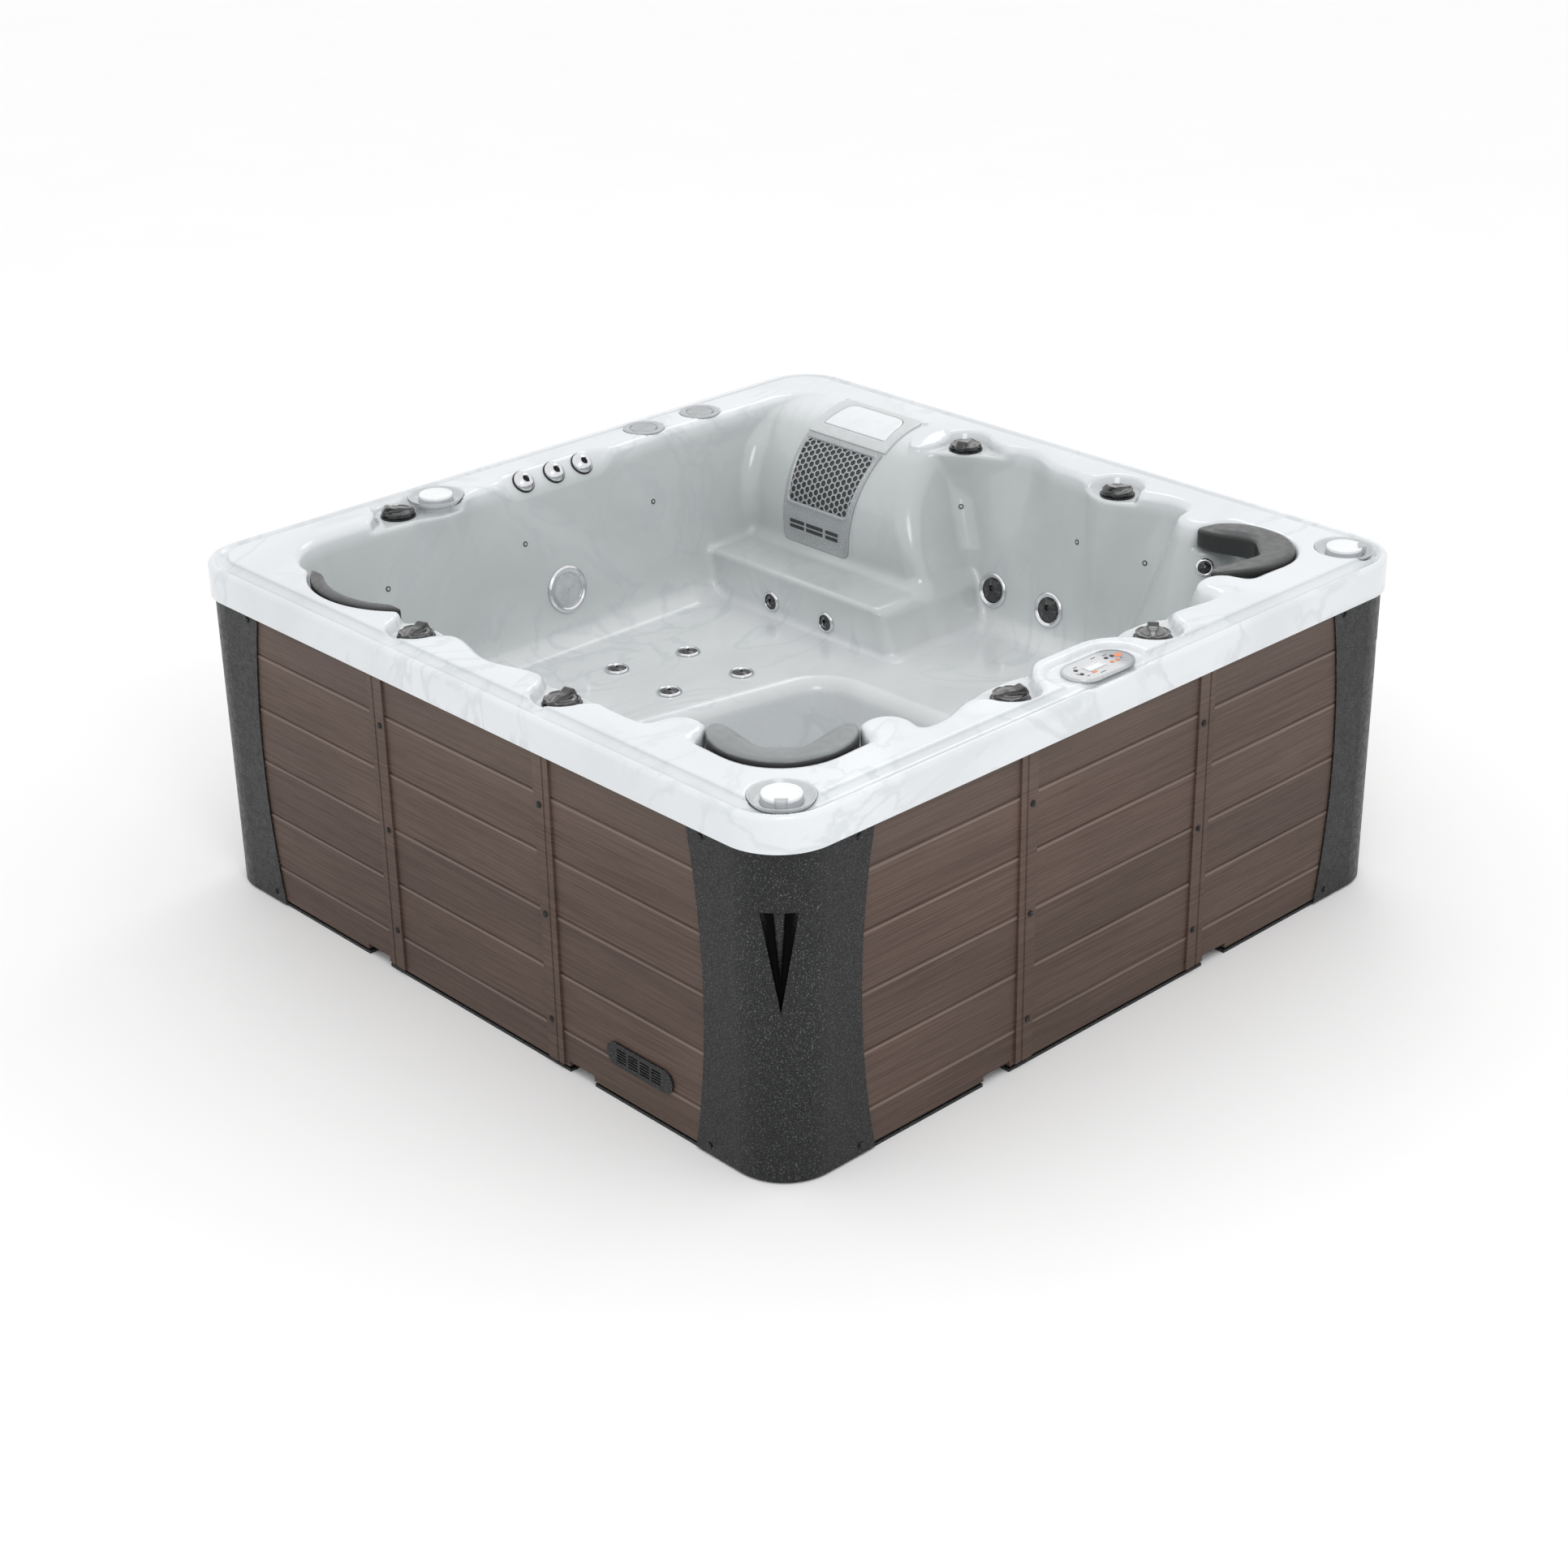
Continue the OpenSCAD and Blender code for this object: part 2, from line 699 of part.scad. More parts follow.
module filter_lid() color("#dde1e3") {
  r0 = filter_r + plate_gap;
  difference() {
    intersection() {
      along_y(filter_y - lid_w / 2, filter_y + lid_w / 2) face_band(r0, r0 + plate_t);
      block([lid_front_x + 2, 0, tub_h - 115], [lid_rear_x, half, tub_h + 25]);
    }
    for (s = [-1, 1]) translate([lid_pin[0], filter_y + s * lid_w / 2, lid_pin[1]])
      rotate([90, 0, 0]) cylinder(r = 1.5 + running_gap, h = 14, center = true);
    // Finger notch at the front edge
    translate([lid_front_x - 4, filter_y, tub_h - 65]) cylinder(r = 16, h = 60);
  }
}

// Flap that hangs behind the grille and swings inwards
module weir_flap() color("#aeb4b7") translate([weir_pin[0], filter_y, weir_pin[1]]) {
  block([-2, -94, -78], [2, 94, 0]);
  rotate([90, 0, 0]) cylinder(r = 4, h = 192, center = true);
  rotate([90, 0, 0]) cylinder(r = 2, h = 219, center = true);
}

// ---------- knobs ----------

module valve_bodies() color("#2a2c2e") for (p = knob_at) translate([p[0], p[1], 0]) {
  translate([0, 0, pocket_z - 90]) cylinder(r = 27, h = 81);
  translate([0, 0, pocket_z - 20]) cylinder(r = 19.5, h = 22);
  translate([0, 0, pocket_z + 0.3]) cylinder(r = 30, h = 4);
  translate([0, 0, pocket_z]) cylinder(r = stem_r, h = knob_h - 6);
  translate([0, 0, pocket_z - 110]) cylinder(r = 16, h = 24);
}

// Round knob with a raised thumb lever, on a blind bore
module knob(i) color("#121314") translate([knob_at[i][0], knob_at[i][1], pocket_z + 5]) {
  difference() {
    union() {
      cylinder(r = knob_d / 2, h = 16);
      translate([0, 0, 15]) cylinder(r = knob_d / 2 - 5, h = 4);
      intersection() {
        translate([-knob_d / 2, -8, 10]) cube([knob_d, 16, knob_h - 10]);
        cylinder(r = knob_d / 2 - 3, h = knob_h + eps);
      }
    }
    translate([0, 0, -eps]) cylinder(r = stem_r + running_gap, h = knob_h - 9);
    for (a = [60, 120, 240, 300]) rotate([0, 0, a]) translate([knob_d / 2 + 6, 0, -eps])
      cylinder(r = 10, h = 40);
  }
}

module knob_rear() knob(0);
module knob_left_1() knob(1);
module knob_left_2() knob(2);
module knob_front_1() knob(3);
module knob_front_2() knob(4);
module knob_right_1() knob(5);
module knob_right_2() knob(6);

// ---------- fountains, jets and light ----------

module fountain_bodies() color("#3a3d40") for (x = fountain_x) on_ledge(x) difference() {
  union() {
    translate([0, 0, 0.4]) cylinder(r = 29, h = 5);
    translate([0, 0, -45]) cylinder(r = 19, h = 46);
  }
  translate([0, 0, -25]) cylinder(r = 15, h = 40);
}

// Chrome dome with the water hole
module fountain_nozzle(i) color("#cfd3d6") on_ledge(fountain_x[i]) difference() {
  union() {
    translate([0, 0, 5.8]) cylinder(r = 30, h = 6);
    intersection() {
      translate([0, 0, 5.8]) cylinder(r = 30, h = 20);
      translate([0, 0, -14]) sphere(r = 38);
    }
    translate([0, 0, -20]) cylinder(r = 15 - running_gap, h = 28);
  }
  translate([0, 0, -30]) cylinder(r = 9, h = 80);
}

module fountain_nozzle_1() fountain_nozzle(0);
module fountain_nozzle_2() fountain_nozzle(1);
module fountain_nozzle_3() fountain_nozzle(2);

// Ring inside the basin, barrel through the shell
module jet_body(ring_r, barrel_r, bore_r) {
  difference() {
    union() {
      translate([0, 0, 0.4]) cylinder(r = ring_r, h = 6);
      translate([0, 0, -60]) cylinder(r = barrel_r, h = 61);
    }
    translate([0, 0, -40]) cylinder(r = bore_r, h = 60);
    translate([0, 0, 3]) cylinder(r = ring_r - 7, h = 10);
  }
}

module jet_bodies() color("#9ea3a6") {
  for (p = seat_jet_at) on_seat(p) jet_body(small_ring_r, 21.5, 14);
  for (y = riser_jet_y) on_riser(y) jet_body(riser_ring_r, 19.5, 13);
  for (y = wall_jet_y) on_right_wall(y, wall_jet_z) jet_body(big_ring_r, 33.5, 22);
}

// Turning face with an off-centre eye
module jet_face(ring_r, bore_r) {
  difference() {
    union() {
      translate([0, 0, 4]) cylinder(r = ring_r - 8, h = 4);
      translate([0, 0, 4]) cylinder(r = bore_r + 3, h = 7);
      translate([0, 0, -34]) cylinder(r = bore_r - running_gap, h = 40);
    }
    translate([bore_r * 0.3, 0, -40]) cylinder(r = bore_r * 0.5, h = 60);
  }
}

module seat_jet(i) color("#141516") on_seat(seat_jet_at[i]) jet_face(small_ring_r, 14);
module riser_jet(i) color("#141516") on_riser(riser_jet_y[i]) jet_face(riser_ring_r, 13);
module wall_jet(i) color("#141516") on_right_wall(wall_jet_y[i], wall_jet_z) jet_face(big_ring_r, 22);
module seat_jet_1() seat_jet(0);
module seat_jet_2() seat_jet(1);
module seat_jet_3() seat_jet(2);
module seat_jet_4() seat_jet(3);
module riser_jet_1() riser_jet(0);
module riser_jet_2() riser_jet(1);
module wall_jet_1() wall_jet(0);
module wall_jet_2() wall_jet(1);

module light_bezel() color("#c9cdd0") on_rear_wall(light_at[0], light_at[1]) difference() {
  union() {
    translate([0, 0, 0.4]) cylinder(r = 67, h = 8);
    translate([0, 0, -40]) cylinder(r = 49.5, h = 41);
  }
  translate([0, 0, -34]) cylinder(r = 46, h = 60);
}

// Main lens, and the small points of light round the basin
led_rear_x = [-620, -160, 306];
led_right_y = [-168, -400];
led_z = 735;

module light_lenses() color("#e8edf0") {
  on_rear_wall(light_at[0], light_at[1]) translate([0, 0, 1]) cylinder(r = 45.8, h = 6);
  for (x = led_rear_x) on_rear_wall(x, led_z) translate([0, 0, 0.3]) cylinder(r = 5, h = 2.5);
  for (y = led_right_y) on_right_wall(y, led_z) translate([0, 0, 0.3]) cylinder(r = 5, h = 2.5);
  translate([knob_at[5][0] - pocket_r - shell_t - 0.3, knob_at[5][1], led_z])
    rotate([0, -90, 0]) cylinder(r = 5, h = 2.5);
}

// ---------- speakers ----------

module speaker_grilles() color("#c4c8c9") for (p = speaker_at) translate([p[0], p[1], 0]) {
  translate([0, 0, tub_h - 3.7]) cylinder(r = 58, h = 2.6);
  translate([0, 0, tub_h - 2]) cylinder(r = 40, h = 3);
  translate([0, 0, tub_h - 34]) cylinder(r = 38, h = 32);
}

cup_z = tub_h - popup_travel - 45;           // bottom of a pop-up's cup, which leaves room for its travel

module popup_cups() color("#d9dee0") for (p = popup_at) translate([p[0], p[1], 0]) {
  tube(popup_r + 4, popup_r + 1, cup_z, tub_h - 5.7);
  tube(68, popup_r + 1, tub_h - 5.7, tub_h - 3.2);
  translate([0, 0, cup_z]) cylinder(r = popup_r + 4, h = 3);
}

// Speaker head that slides up out of its cup
module popup_head(i) color("#f2f5f6") translate([popup_at[i][0], popup_at[i][1], 0]) {
  tube(popup_r, popup_r - 4, cup_z + 8, tub_h - 4);
  translate([0, 0, tub_h - 5]) cylinder(r = popup_r, h = 10);
}

module popup_front_left() popup_head(0);
module popup_front_right() popup_head(1);
module popup_rear() popup_head(2);

// ---------- control panel ----------

button_r = 5.5;
button_z = button_travel + 2.1;             // underside at rest, above the panel's floor

module panel_bezel() color("#d3d7d9") translate([panel_at[0], panel_at[1], 0]) difference() {
  union() {
    translate([0, 0, panel_z + 0.3]) linear_extrude(7) panel_outline(3);
    translate([-72, -22, panel_z - 24]) cube([144, 44, 26]);
  }
  translate([screen_x, 0, panel_z + 3.5]) linear_extrude(10) square(screen_size, center = true);
  for (b = button_at) translate([b[0], b[1], panel_z + 1.5]) {
    cylinder(r = button_r + 2.2, h = 3.6);
    cylinder(r = button_r + 0.3, h = 20);
  }
}

module panel_screen() color("#f4f7f8")
  translate([panel_at[0] + screen_x, panel_at[1], panel_z + 3.7]) linear_extrude(3.4)
    square(screen_size - [1, 1], center = true);

module button(i) color(i < 2 ? "#6c7174" : "#b9bec1")
  translate([panel_at[0] + button_at[i][0], panel_at[1] + button_at[i][1], panel_z]) {
    translate([0, 0, button_z]) cylinder(r = button_r + 1.6, h = 1.6);
    translate([0, 0, button_z]) cylinder(r = button_r, h = 5.6);
  }

module button_1() button(0);
module button_2() button(1);
module button_3() button(2);
module button_4() button(3);
module button_5() button(4);
module button_6() button(5);

// ---------- pillows ----------

// Crescent pad in a rim scoop: outer radius r, inner edge cut at distance keep
module crescent(r, keep) {
  translate([0, 0, tub_h - pillow_h]) difference() {
    cylinder(r = r, h = pillow_h);
    translate([keep - 1.15 * r, 0, -eps]) cylinder(r = 1.15 * r, h = 80);
    translate([-2 * r, -r, -eps]) cube([2 * r - 22, 2 * r, 80]);
  }
}

module corner_pillow(s) {
  translate([s * pillow_d, -pillow_d, 0]) rotate([0, 0, s > 0 ? -45 : -135]) crescent(pillow_r, 66);
}

module pillow_front_left() color("#54585b") corner_pillow(-1);
module pillow_front_right() color("#2b2d2f") corner_pillow(1);

module pillow_left() color("#54585b")
  translate([side_pillow_at[0], side_pillow_at[1], tub_h - pillow_h]) difference() {
    cylinder(r = side_pillow_r, h = pillow_h);
    translate([60, 0, -eps]) cylinder(r = side_pillow_r - 2, h = 80);
    translate([-190, -300, -eps]) cube([500, 600, 80]);
  }

// ---------- equipment under the seats ----------

pump_x = suction_x;
pump_y = -790;
pump_z = 165;

module pumps() color("#3b4046") for (x = pump_x) translate([x, pump_y, 0]) {
  block([-70, -90, pan_top], [70, 90, 20]);
  block([-30, -70, 19], [30, 70, 95]);
  translate([0, 110, pump_z]) rotate([90, 0, 0]) cylinder(r = 78, h = 230);
  translate([0, 190, pump_z]) rotate([90, 0, 0]) cylinder(r = 92, h = 82);
  translate([0, 150, pump_z]) cylinder(r = 28, h = ring_z - pipe_r - 1 - pump_z);
}

// Controller on two stands, with the heater tube beside it
module control_box() color("#e3e5e6") {
  block([430, -1000, 120], [760, -890, 340]);
  for (x = [500, 660]) block([x, -980, pan_top], [x + 40, -910, 121]);
  translate([440, -830, 180]) rotate([0, 90, 0]) cylinder(r = 38, h = 320);
  block([560, -891, 160], [620, -840, 200]);
}

ring_z = 325;
ring_half = 640;
pipe_r = 25;

module plumbing() color("#f0f0ec") {
  // Ring main under the seats
  four_sides() {
    translate([-ring_half, -ring_half, ring_z]) rotate([0, 90, 0]) cylinder(r = pipe_r, h = 2 * ring_half);
    translate([-ring_half, -ring_half, ring_z]) sphere(r = pipe_r);
  }
  // Filter outlet down to the ring
  translate([cartridge_x, filter_y, ring_z]) {
    cylinder(r = 21, h = tub_h - 347 - ring_z);
    sphere(r = 21.5);
    rotate([0, -90, 0]) cylinder(r = 21, h = cartridge_x - ring_half);
  }
  // Suction pipes from the footwell to the pumps
  for (x = suction_x) translate([x, -540, 0]) {
    translate([0, 0, suction_z]) rotate([-90, 0, 0]) cylinder(r = 24, h = 170);
    translate([0, 0, pump_z]) cylinder(r = 24, h = suction_z - pump_z);
    for (z = [pump_z, suction_z]) translate([0, 0, z]) sphere(r = 24.5);
    translate([0, -59, pump_z]) rotate([-90, 0, 0]) cylinder(r = 24, h = 59);
  }
}

// Covers over the two suctions in the near wall of the footwell
module suction_covers() color("#dfe3e5") for (x = suction_x) on_footwell_wall(x) {
  translate([0, 0, 0.6]) cylinder(r = 60, h = 8);
  translate([0, 0, -28]) cylinder(r = 36, h = 29);
}

acrylic_shell();
base_pan();
timber_frame();
skirt_front();
skirt_left();
skirt_rear();
skirt_right();
battens();
skirt_screws();
corner_covers();
vent_grille();
filter_housing();
filter_faceplate();
filter_grille();
filter_cartridge();
filter_lid();
weir_flap();
valve_bodies();
knob_rear();
knob_left_1();
knob_left_2();
knob_front_1();
knob_front_2();
knob_right_1();
knob_right_2();
fountain_bodies();
fountain_nozzle_1();
fountain_nozzle_2();
fountain_nozzle_3();
jet_bodies();
seat_jet_1();
seat_jet_2();
seat_jet_3();
seat_jet_4();
riser_jet_1();
riser_jet_2();
wall_jet_1();
wall_jet_2();
light_bezel();
light_lenses();
speaker_grilles();
popup_cups();
popup_front_left();
popup_front_right();
popup_rear();
panel_bezel();
panel_screen();
button_1();
button_2();
button_3();
button_4();
button_5();
button_6();
pillow_front_left();
pillow_front_right();
pillow_left();
pumps();
control_box();
plumbing();
suction_covers();
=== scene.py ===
"""Looks of the hot tub: camera, light, materials, moulded shell, fittings and head pillows.

Outlines and distance fields are in millimetres, in the frame of the CAD model. piece() turns them
into metres. Places come from the boxes of the CAD nodes.
"""

import json
from itertools import product
from math import atan, atan2, ceil, cos, degrees, hypot, pi, radians, sin

import bmesh
import bpy
import numpy as np
from mathutils import Matrix, Vector


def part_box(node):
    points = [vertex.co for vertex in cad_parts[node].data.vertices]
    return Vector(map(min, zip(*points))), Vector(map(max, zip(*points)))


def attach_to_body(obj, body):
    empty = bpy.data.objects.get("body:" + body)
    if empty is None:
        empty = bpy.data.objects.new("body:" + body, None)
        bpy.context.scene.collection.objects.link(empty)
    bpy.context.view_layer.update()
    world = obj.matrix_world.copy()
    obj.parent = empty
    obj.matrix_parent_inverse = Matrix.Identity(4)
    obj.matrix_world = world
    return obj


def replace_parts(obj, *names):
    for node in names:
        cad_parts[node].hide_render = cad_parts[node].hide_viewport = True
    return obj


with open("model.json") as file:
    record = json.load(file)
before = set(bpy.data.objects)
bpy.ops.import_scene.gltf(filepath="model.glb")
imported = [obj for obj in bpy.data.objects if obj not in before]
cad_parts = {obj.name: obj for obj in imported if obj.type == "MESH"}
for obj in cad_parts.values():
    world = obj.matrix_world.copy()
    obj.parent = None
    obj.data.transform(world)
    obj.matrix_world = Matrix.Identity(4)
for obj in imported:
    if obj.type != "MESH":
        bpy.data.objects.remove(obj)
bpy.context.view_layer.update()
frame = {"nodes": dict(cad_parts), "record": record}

MM = 0.001


def corners(node):
    """Lowest and highest corner of a CAD node, in millimetres."""
    return [np.array(corner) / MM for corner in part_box(node)]


def middle(node):
    low, high = corners(node)
    return (low + high) / 2


# ---------- driving dimensions ----------

SHELL_LOW, SHELL_HIGH = corners("acrylic_shell")
HALF = SHELL_HIGH[0]                    # half the width over the lip
DECK = SHELL_HIGH[2]                    # height of the deck
LIP_Z = DECK - 95                       # underside of the lip
LIP_R = 150
SEAT = corners("seat_jet_1")[0][2] + 34  # level of the seats
FLOOR = SHELL_LOW[2] + 8                # floor of the footwell
RIM = 935                               # half the width of the basin at the deck
DRAFT = 0.185                           # inward lean of the basin walls, per unit of height
PAD = corners("knob_left_1")[0][2] - 5  # level of the pads under the knobs
LEAN = cos(atan(DRAFT))

# ---------- camera, light and floor ----------

AZIMUTH, ELEVATION, ROLL = radians(-43.034), radians(25.936), radians(-1.009)
DISTANCE = 7.4036
TARGET = Vector((0.0079, 0.0608, 0.2341))
LENS = 64.03


def add_camera():
    back = Vector((sin(AZIMUTH) * cos(ELEVATION), -cos(AZIMUTH) * cos(ELEVATION), sin(ELEVATION)))
    right = Vector((cos(AZIMUTH), sin(AZIMUTH), 0))
    up = back.cross(right)
    right, up = right * cos(ROLL) + up * sin(ROLL), up * cos(ROLL) - right * sin(ROLL)
    data = bpy.data.cameras.new("camera")
    data.lens, data.sensor_width = LENS, 36
    camera = bpy.data.objects.new("camera", data)
    turn = Matrix((right, up, back)).transposed().to_4x4()
    camera.matrix_world = Matrix.Translation(TARGET + back * DISTANCE) @ turn
    bpy.context.scene.collection.objects.link(camera)
    bpy.context.scene.camera = camera


def add_area_light(name, place, aim, size, power):
    data = bpy.data.lights.new(name, "AREA")
    data.shape, data.size, data.energy = "DISK", size, power
    light = bpy.data.objects.new(name, data)
    light.matrix_world = Matrix.Translation(place) @ (
        (Vector(aim) - Vector(place)).to_track_quat("-Z", "Y").to_matrix().to_4x4())
    bpy.context.scene.collection.objects.link(light)


# ---------- materials ----------

class Look:
    """One procedural material, built node by node on object coordinates (metres)."""

    def __init__(self, name, **shader):
        self.material = bpy.data.materials.new(name)
        self.material.use_nodes = True
        self.tree = self.material.node_tree
        self.shader = self.tree.nodes["Principled BSDF"]
        self.where = self.node("ShaderNodeTexCoord").outputs["Object"]
        self.set(**shader)

    def set(self, **inputs):
        for key, value in inputs.items():
            self.feed(self.shader.inputs[key.replace("_", " ")], value)
        return self

    def feed(self, socket, value):
        if isinstance(value, bpy.types.NodeSocket):
            self.tree.links.new(value, socket)
        elif socket.type == "RGBA":
            socket.default_value = (*value, 1)
        else:
            socket.default_value = value

    def node(self, kind, settings=None, **inputs):
        node = self.tree.nodes.new(kind)
        for key, value in (settings or {}).items():
            setattr(node, key, value)
        for key, value in inputs.items():
            self.feed(node.inputs[key.replace("_", " ")], value)
        return node

    def math(self, operation, a, b=0.0, c=0.0):
        node = self.node("ShaderNodeMath", {"operation": operation})
        for socket, value in zip(node.inputs, (a, b, c)):
            self.feed(socket, value)
        return node.outputs[0]

    def axes(self, vector=None):
        return self.node("ShaderNodeSeparateXYZ", Vector=vector or self.where).outputs

    def noise(self, scale, detail=3.0, stretch=(1, 1, 1), distortion=0.0, seed=0.0):
        place = self.node("ShaderNodeMapping", Vector=self.where, Scale=stretch,
                          Location=(seed, 1.7 * seed, 0.6 * seed)).outputs[0]
        return self.node("ShaderNodeTexNoise", Vector=place, Scale=scale, Detail=detail,
                         Distortion=distortion).outputs["Fac"]

    def cells(self, scale, stretch=(1, 1, 1), output="Distance"):
        place = self.node("ShaderNodeMapping", Vector=self.where, Scale=stretch).outputs[0]
        return self.node("ShaderNodeTexVoronoi", Vector=place, Scale=scale).outputs[output]

    def span(self, value, low, high, to_low=0.0, to_high=1.0):
        return self.node("ShaderNodeMapRange", {"interpolation_type": "SMOOTHSTEP"}, Value=value,
                         From_Min=low, From_Max=high, To_Min=to_low, To_Max=to_high).outputs[0]

    def mix(self, amount, a, b):
        node = self.node("ShaderNodeMix", {"data_type": "RGBA"})
        self.feed(node.inputs[0], amount)
        self.feed(node.inputs[6], a)
        self.feed(node.inputs[7], b)
        return node.outputs[2]

    def tint(self, colour, amount, low=0.85, high=1.15):
        """The colour, made darker and lighter by a 0 to 1 pattern."""
        node = self.node("ShaderNodeHueSaturation", Value=self.span(amount, 0.2, 0.8, low, high))
        self.feed(node.inputs["Color"], colour)
        return node.outputs[0]

    def bump(self, height, depth, strength=1.0):
        """Relief of the given depth in millimetres."""
        node = self.node("ShaderNodeBump", Height=height, Distance=depth * MM, Strength=strength)
        return self.set(Normal=node.outputs[0])


def acrylic():
    look = Look("acrylic", Coat_Weight=0.5, Coat_Roughness=0.06)
    x, y, z = look.axes()
    outwards = look.math("MAXIMUM", look.math("ABSOLUTE", x), look.math("ABSOLUTE", y))
    # Painted shade: inside the basin the acrylic is darker than on the deck, most on the walls and less at the
    # seats, for the shade in the basin.
    basin_painted_shade_mask = look.math("MULTIPLY", look.span(z, (DECK - 6) * MM, (DECK - 60) * MM),
                         look.span(outwards, 1.03, 1.02))
    depth = look.span(z, 0.55, 0.42)
    wall = look.mix(depth, (0.51, 0.54, 0.54), (0.66, 0.68, 0.69))
    base = look.mix(basin_painted_shade_mask, (0.70, 0.725, 0.745), wall)
    cloud = look.noise(1.6, 5, distortion=1.4)
    vein = look.math("ABSOLUTE", look.math("SUBTRACT", look.noise(1.9, 6, (1, 1.7, 1.2), 2.2, 4), 0.5))
    veins = look.math("MULTIPLY", look.span(vein, 0.05, 0.0, 0.0, 0.30), look.span(cloud, 0.40, 0.60))
    colour = look.tint(look.mix(veins, base, (0.42, 0.46, 0.48)), cloud, 0.90, 1.05)
    look.set(Base_Color=look.tint(colour, look.noise(240, 2), 0.985, 1.01),
             Roughness=look.span(look.noise(9, 3, seed=2), 0.3, 0.7, 0.16, 0.27))
    return look.bump(look.noise(38, 2, seed=7), 0.12)


def woodgrain(name, planks):
    """Brown embossed wood, with a painted highlight along the top edge of each plank where there are planks.
    """
    look = Look(name, Specular_IOR_Level=0.22)
    z = look.axes()[2]
    place = look.math("DIVIDE", look.math("SUBTRACT", z, 0.11), 0.1505)
    shade = look.node("ShaderNodeTexWhiteNoise", {"noise_dimensions": "1D"},
                      W=look.math("FLOOR", place)).outputs["Value"]
    fibre = look.noise(4, 6, (1, 1, 90), 0.15)
    pores = look.noise(14, 4, (1, 1, 110), 0.05, 3)
    cloud = look.noise(1.4, 3, (1, 1, 2.5), seed=5)
    colour = look.mix(look.span(fibre, 0.32, 0.68), (0.066, 0.041, 0.032), (0.104, 0.068, 0.053))
    colour = look.mix(look.span(pores, 0.56, 0.70, 0, 0.5), colour, (0.044, 0.028, 0.022))
    # Painted sheen: the colour turns paler towards the top of the skirt, for light glancing off the wood
    # there.
    colour = look.mix(look.span(z, 0.60, 0.83, 0, 0.2), colour, (0.23, 0.175, 0.15))
    if planks:
        colour = look.tint(colour, shade, 0.93, 1.07)
        # Painted highlight: a pale band along the top edge of each plank, for light catching its bevel.
        plank_edge_painted_highlight = look.span(look.math("FRACT", place), 0.945, 0.965, 0, 0.30)
        colour = look.mix(plank_edge_painted_highlight, colour, (0.34, 0.27, 0.235))
    look.set(Base_Color=look.tint(colour, cloud, 0.88, 1.12),
             Roughness=look.span(pores, 0.3, 0.7, 0.40, 0.58))
    return look.bump(look.math("ADD", look.math("MULTIPLY", fibre, 0.6), pores), 0.35)


def trim_black():
    """Near-black moulding with sparkling flecks; the V-shaped recess in a corner has painted shade, darker
    still.
    """
    look = Look("trim_black")
    x, y, z = look.axes()
    grain = look.cells(300)
    fleck = look.span(look.noise(280, 3, seed=3), 0.55, 0.72)
    colour = look.mix(look.span(grain, 0.1, 0.6), (0.026, 0.027, 0.029), (0.006, 0.0062, 0.0065))
    colour = look.mix(look.math("MULTIPLY", fleck, 0.6), colour, (0.17, 0.175, 0.18))
    # Painted shade: in the V-shaped recess of each corner the colour is darkened almost to black and the shine
    # cut, for the shade in it.
    past = [look.math("SUBTRACT", look.math("ABSOLUTE", axis), (HALF - LIP_R) * MM) for axis in (x, y)]
    reach = look.math("SQRT", look.math("ADD", look.math("POWER", past[0], 2.0),
                                        look.math("POWER", past[1], 2.0)))
    at_corner = look.span(look.math("MINIMUM", *past), 0.0, 0.01)
    recess_painted_shade = look.math("MULTIPLY", at_corner, look.span(reach, 0.1365, 0.128))
    recess_painted_shade = look.math("MULTIPLY", recess_painted_shade, look.span(z, 0.420, 0.428))
    recess_painted_shade = look.math("MULTIPLY", recess_painted_shade, look.span(z, 0.690, 0.682))
    colour = look.mix(recess_painted_shade, colour, (0.0015, 0.0015, 0.0015))
    look.set(Base_Color=look.tint(colour, look.noise(3, 3), 0.85, 1.15),
             Specular_IOR_Level=look.span(recess_painted_shade, 0, 1, 0.28, 0.03),
             Roughness=look.span(look.noise(60, 3), 0.3, 0.7, 0.30, 0.48))
    return look.bump(grain, 0.5, 0.9)


def timber():
    look = Look("timber", Roughness=0.75)
    rings = look.noise(6, 5, (3, 3, 0.4), 1.5)
    look.set(Base_Color=look.mix(look.span(rings, 0.35, 0.65), (0.40, 0.26, 0.13), (0.62, 0.45, 0.27)))
    return look.bump(look.noise(90, 4, (1, 1, 0.1)), 0.4)


def chrome():
    look = Look("chrome", Metallic=1.0)
    look.set(Base_Color=look.tint((0.72, 0.73, 0.75), look.noise(60, 3), 0.94, 1.04),
             Roughness=look.span(look.noise(140, 3, seed=1), 0.3, 0.7, 0.09, 0.17))
    return look.bump(look.noise(260, 2), 0.02)


def moulded(name, colour, rough=(0.35, 0.5), grain=0.12, spread=0.08, coat=0.0, cell=600):
    """A moulded plastic with a fine grain, slight colour clouds and handling marks."""
    look = Look(name, Coat_Weight=coat, Coat_Roughness=0.08)
    look.set(Base_Color=look.tint(colour, look.noise(26, 4), 1 - spread, 1 + spread),
             Roughness=look.span(look.noise(45, 4, seed=4), 0.3, 0.7, *rough))
    return look.bump(look.cells(cell), grain)


def plate():
    """Silver-grey speckled plastic of the filter's face."""
    look = Look("filter_plate", Metallic=0.25)
    fleck = look.span(look.noise(420, 2), 0.55, 0.68)
    colour = look.mix(fleck, (0.36, 0.375, 0.385), (0.60, 0.615, 0.62))
    look.set(Base_Color=look.tint(colour, look.noise(12, 3), 0.94, 1.05),
             Roughness=look.span(look.noise(80, 3), 0.3, 0.7, 0.30, 0.44))
    return look.bump(look.cells(480), 0.15)


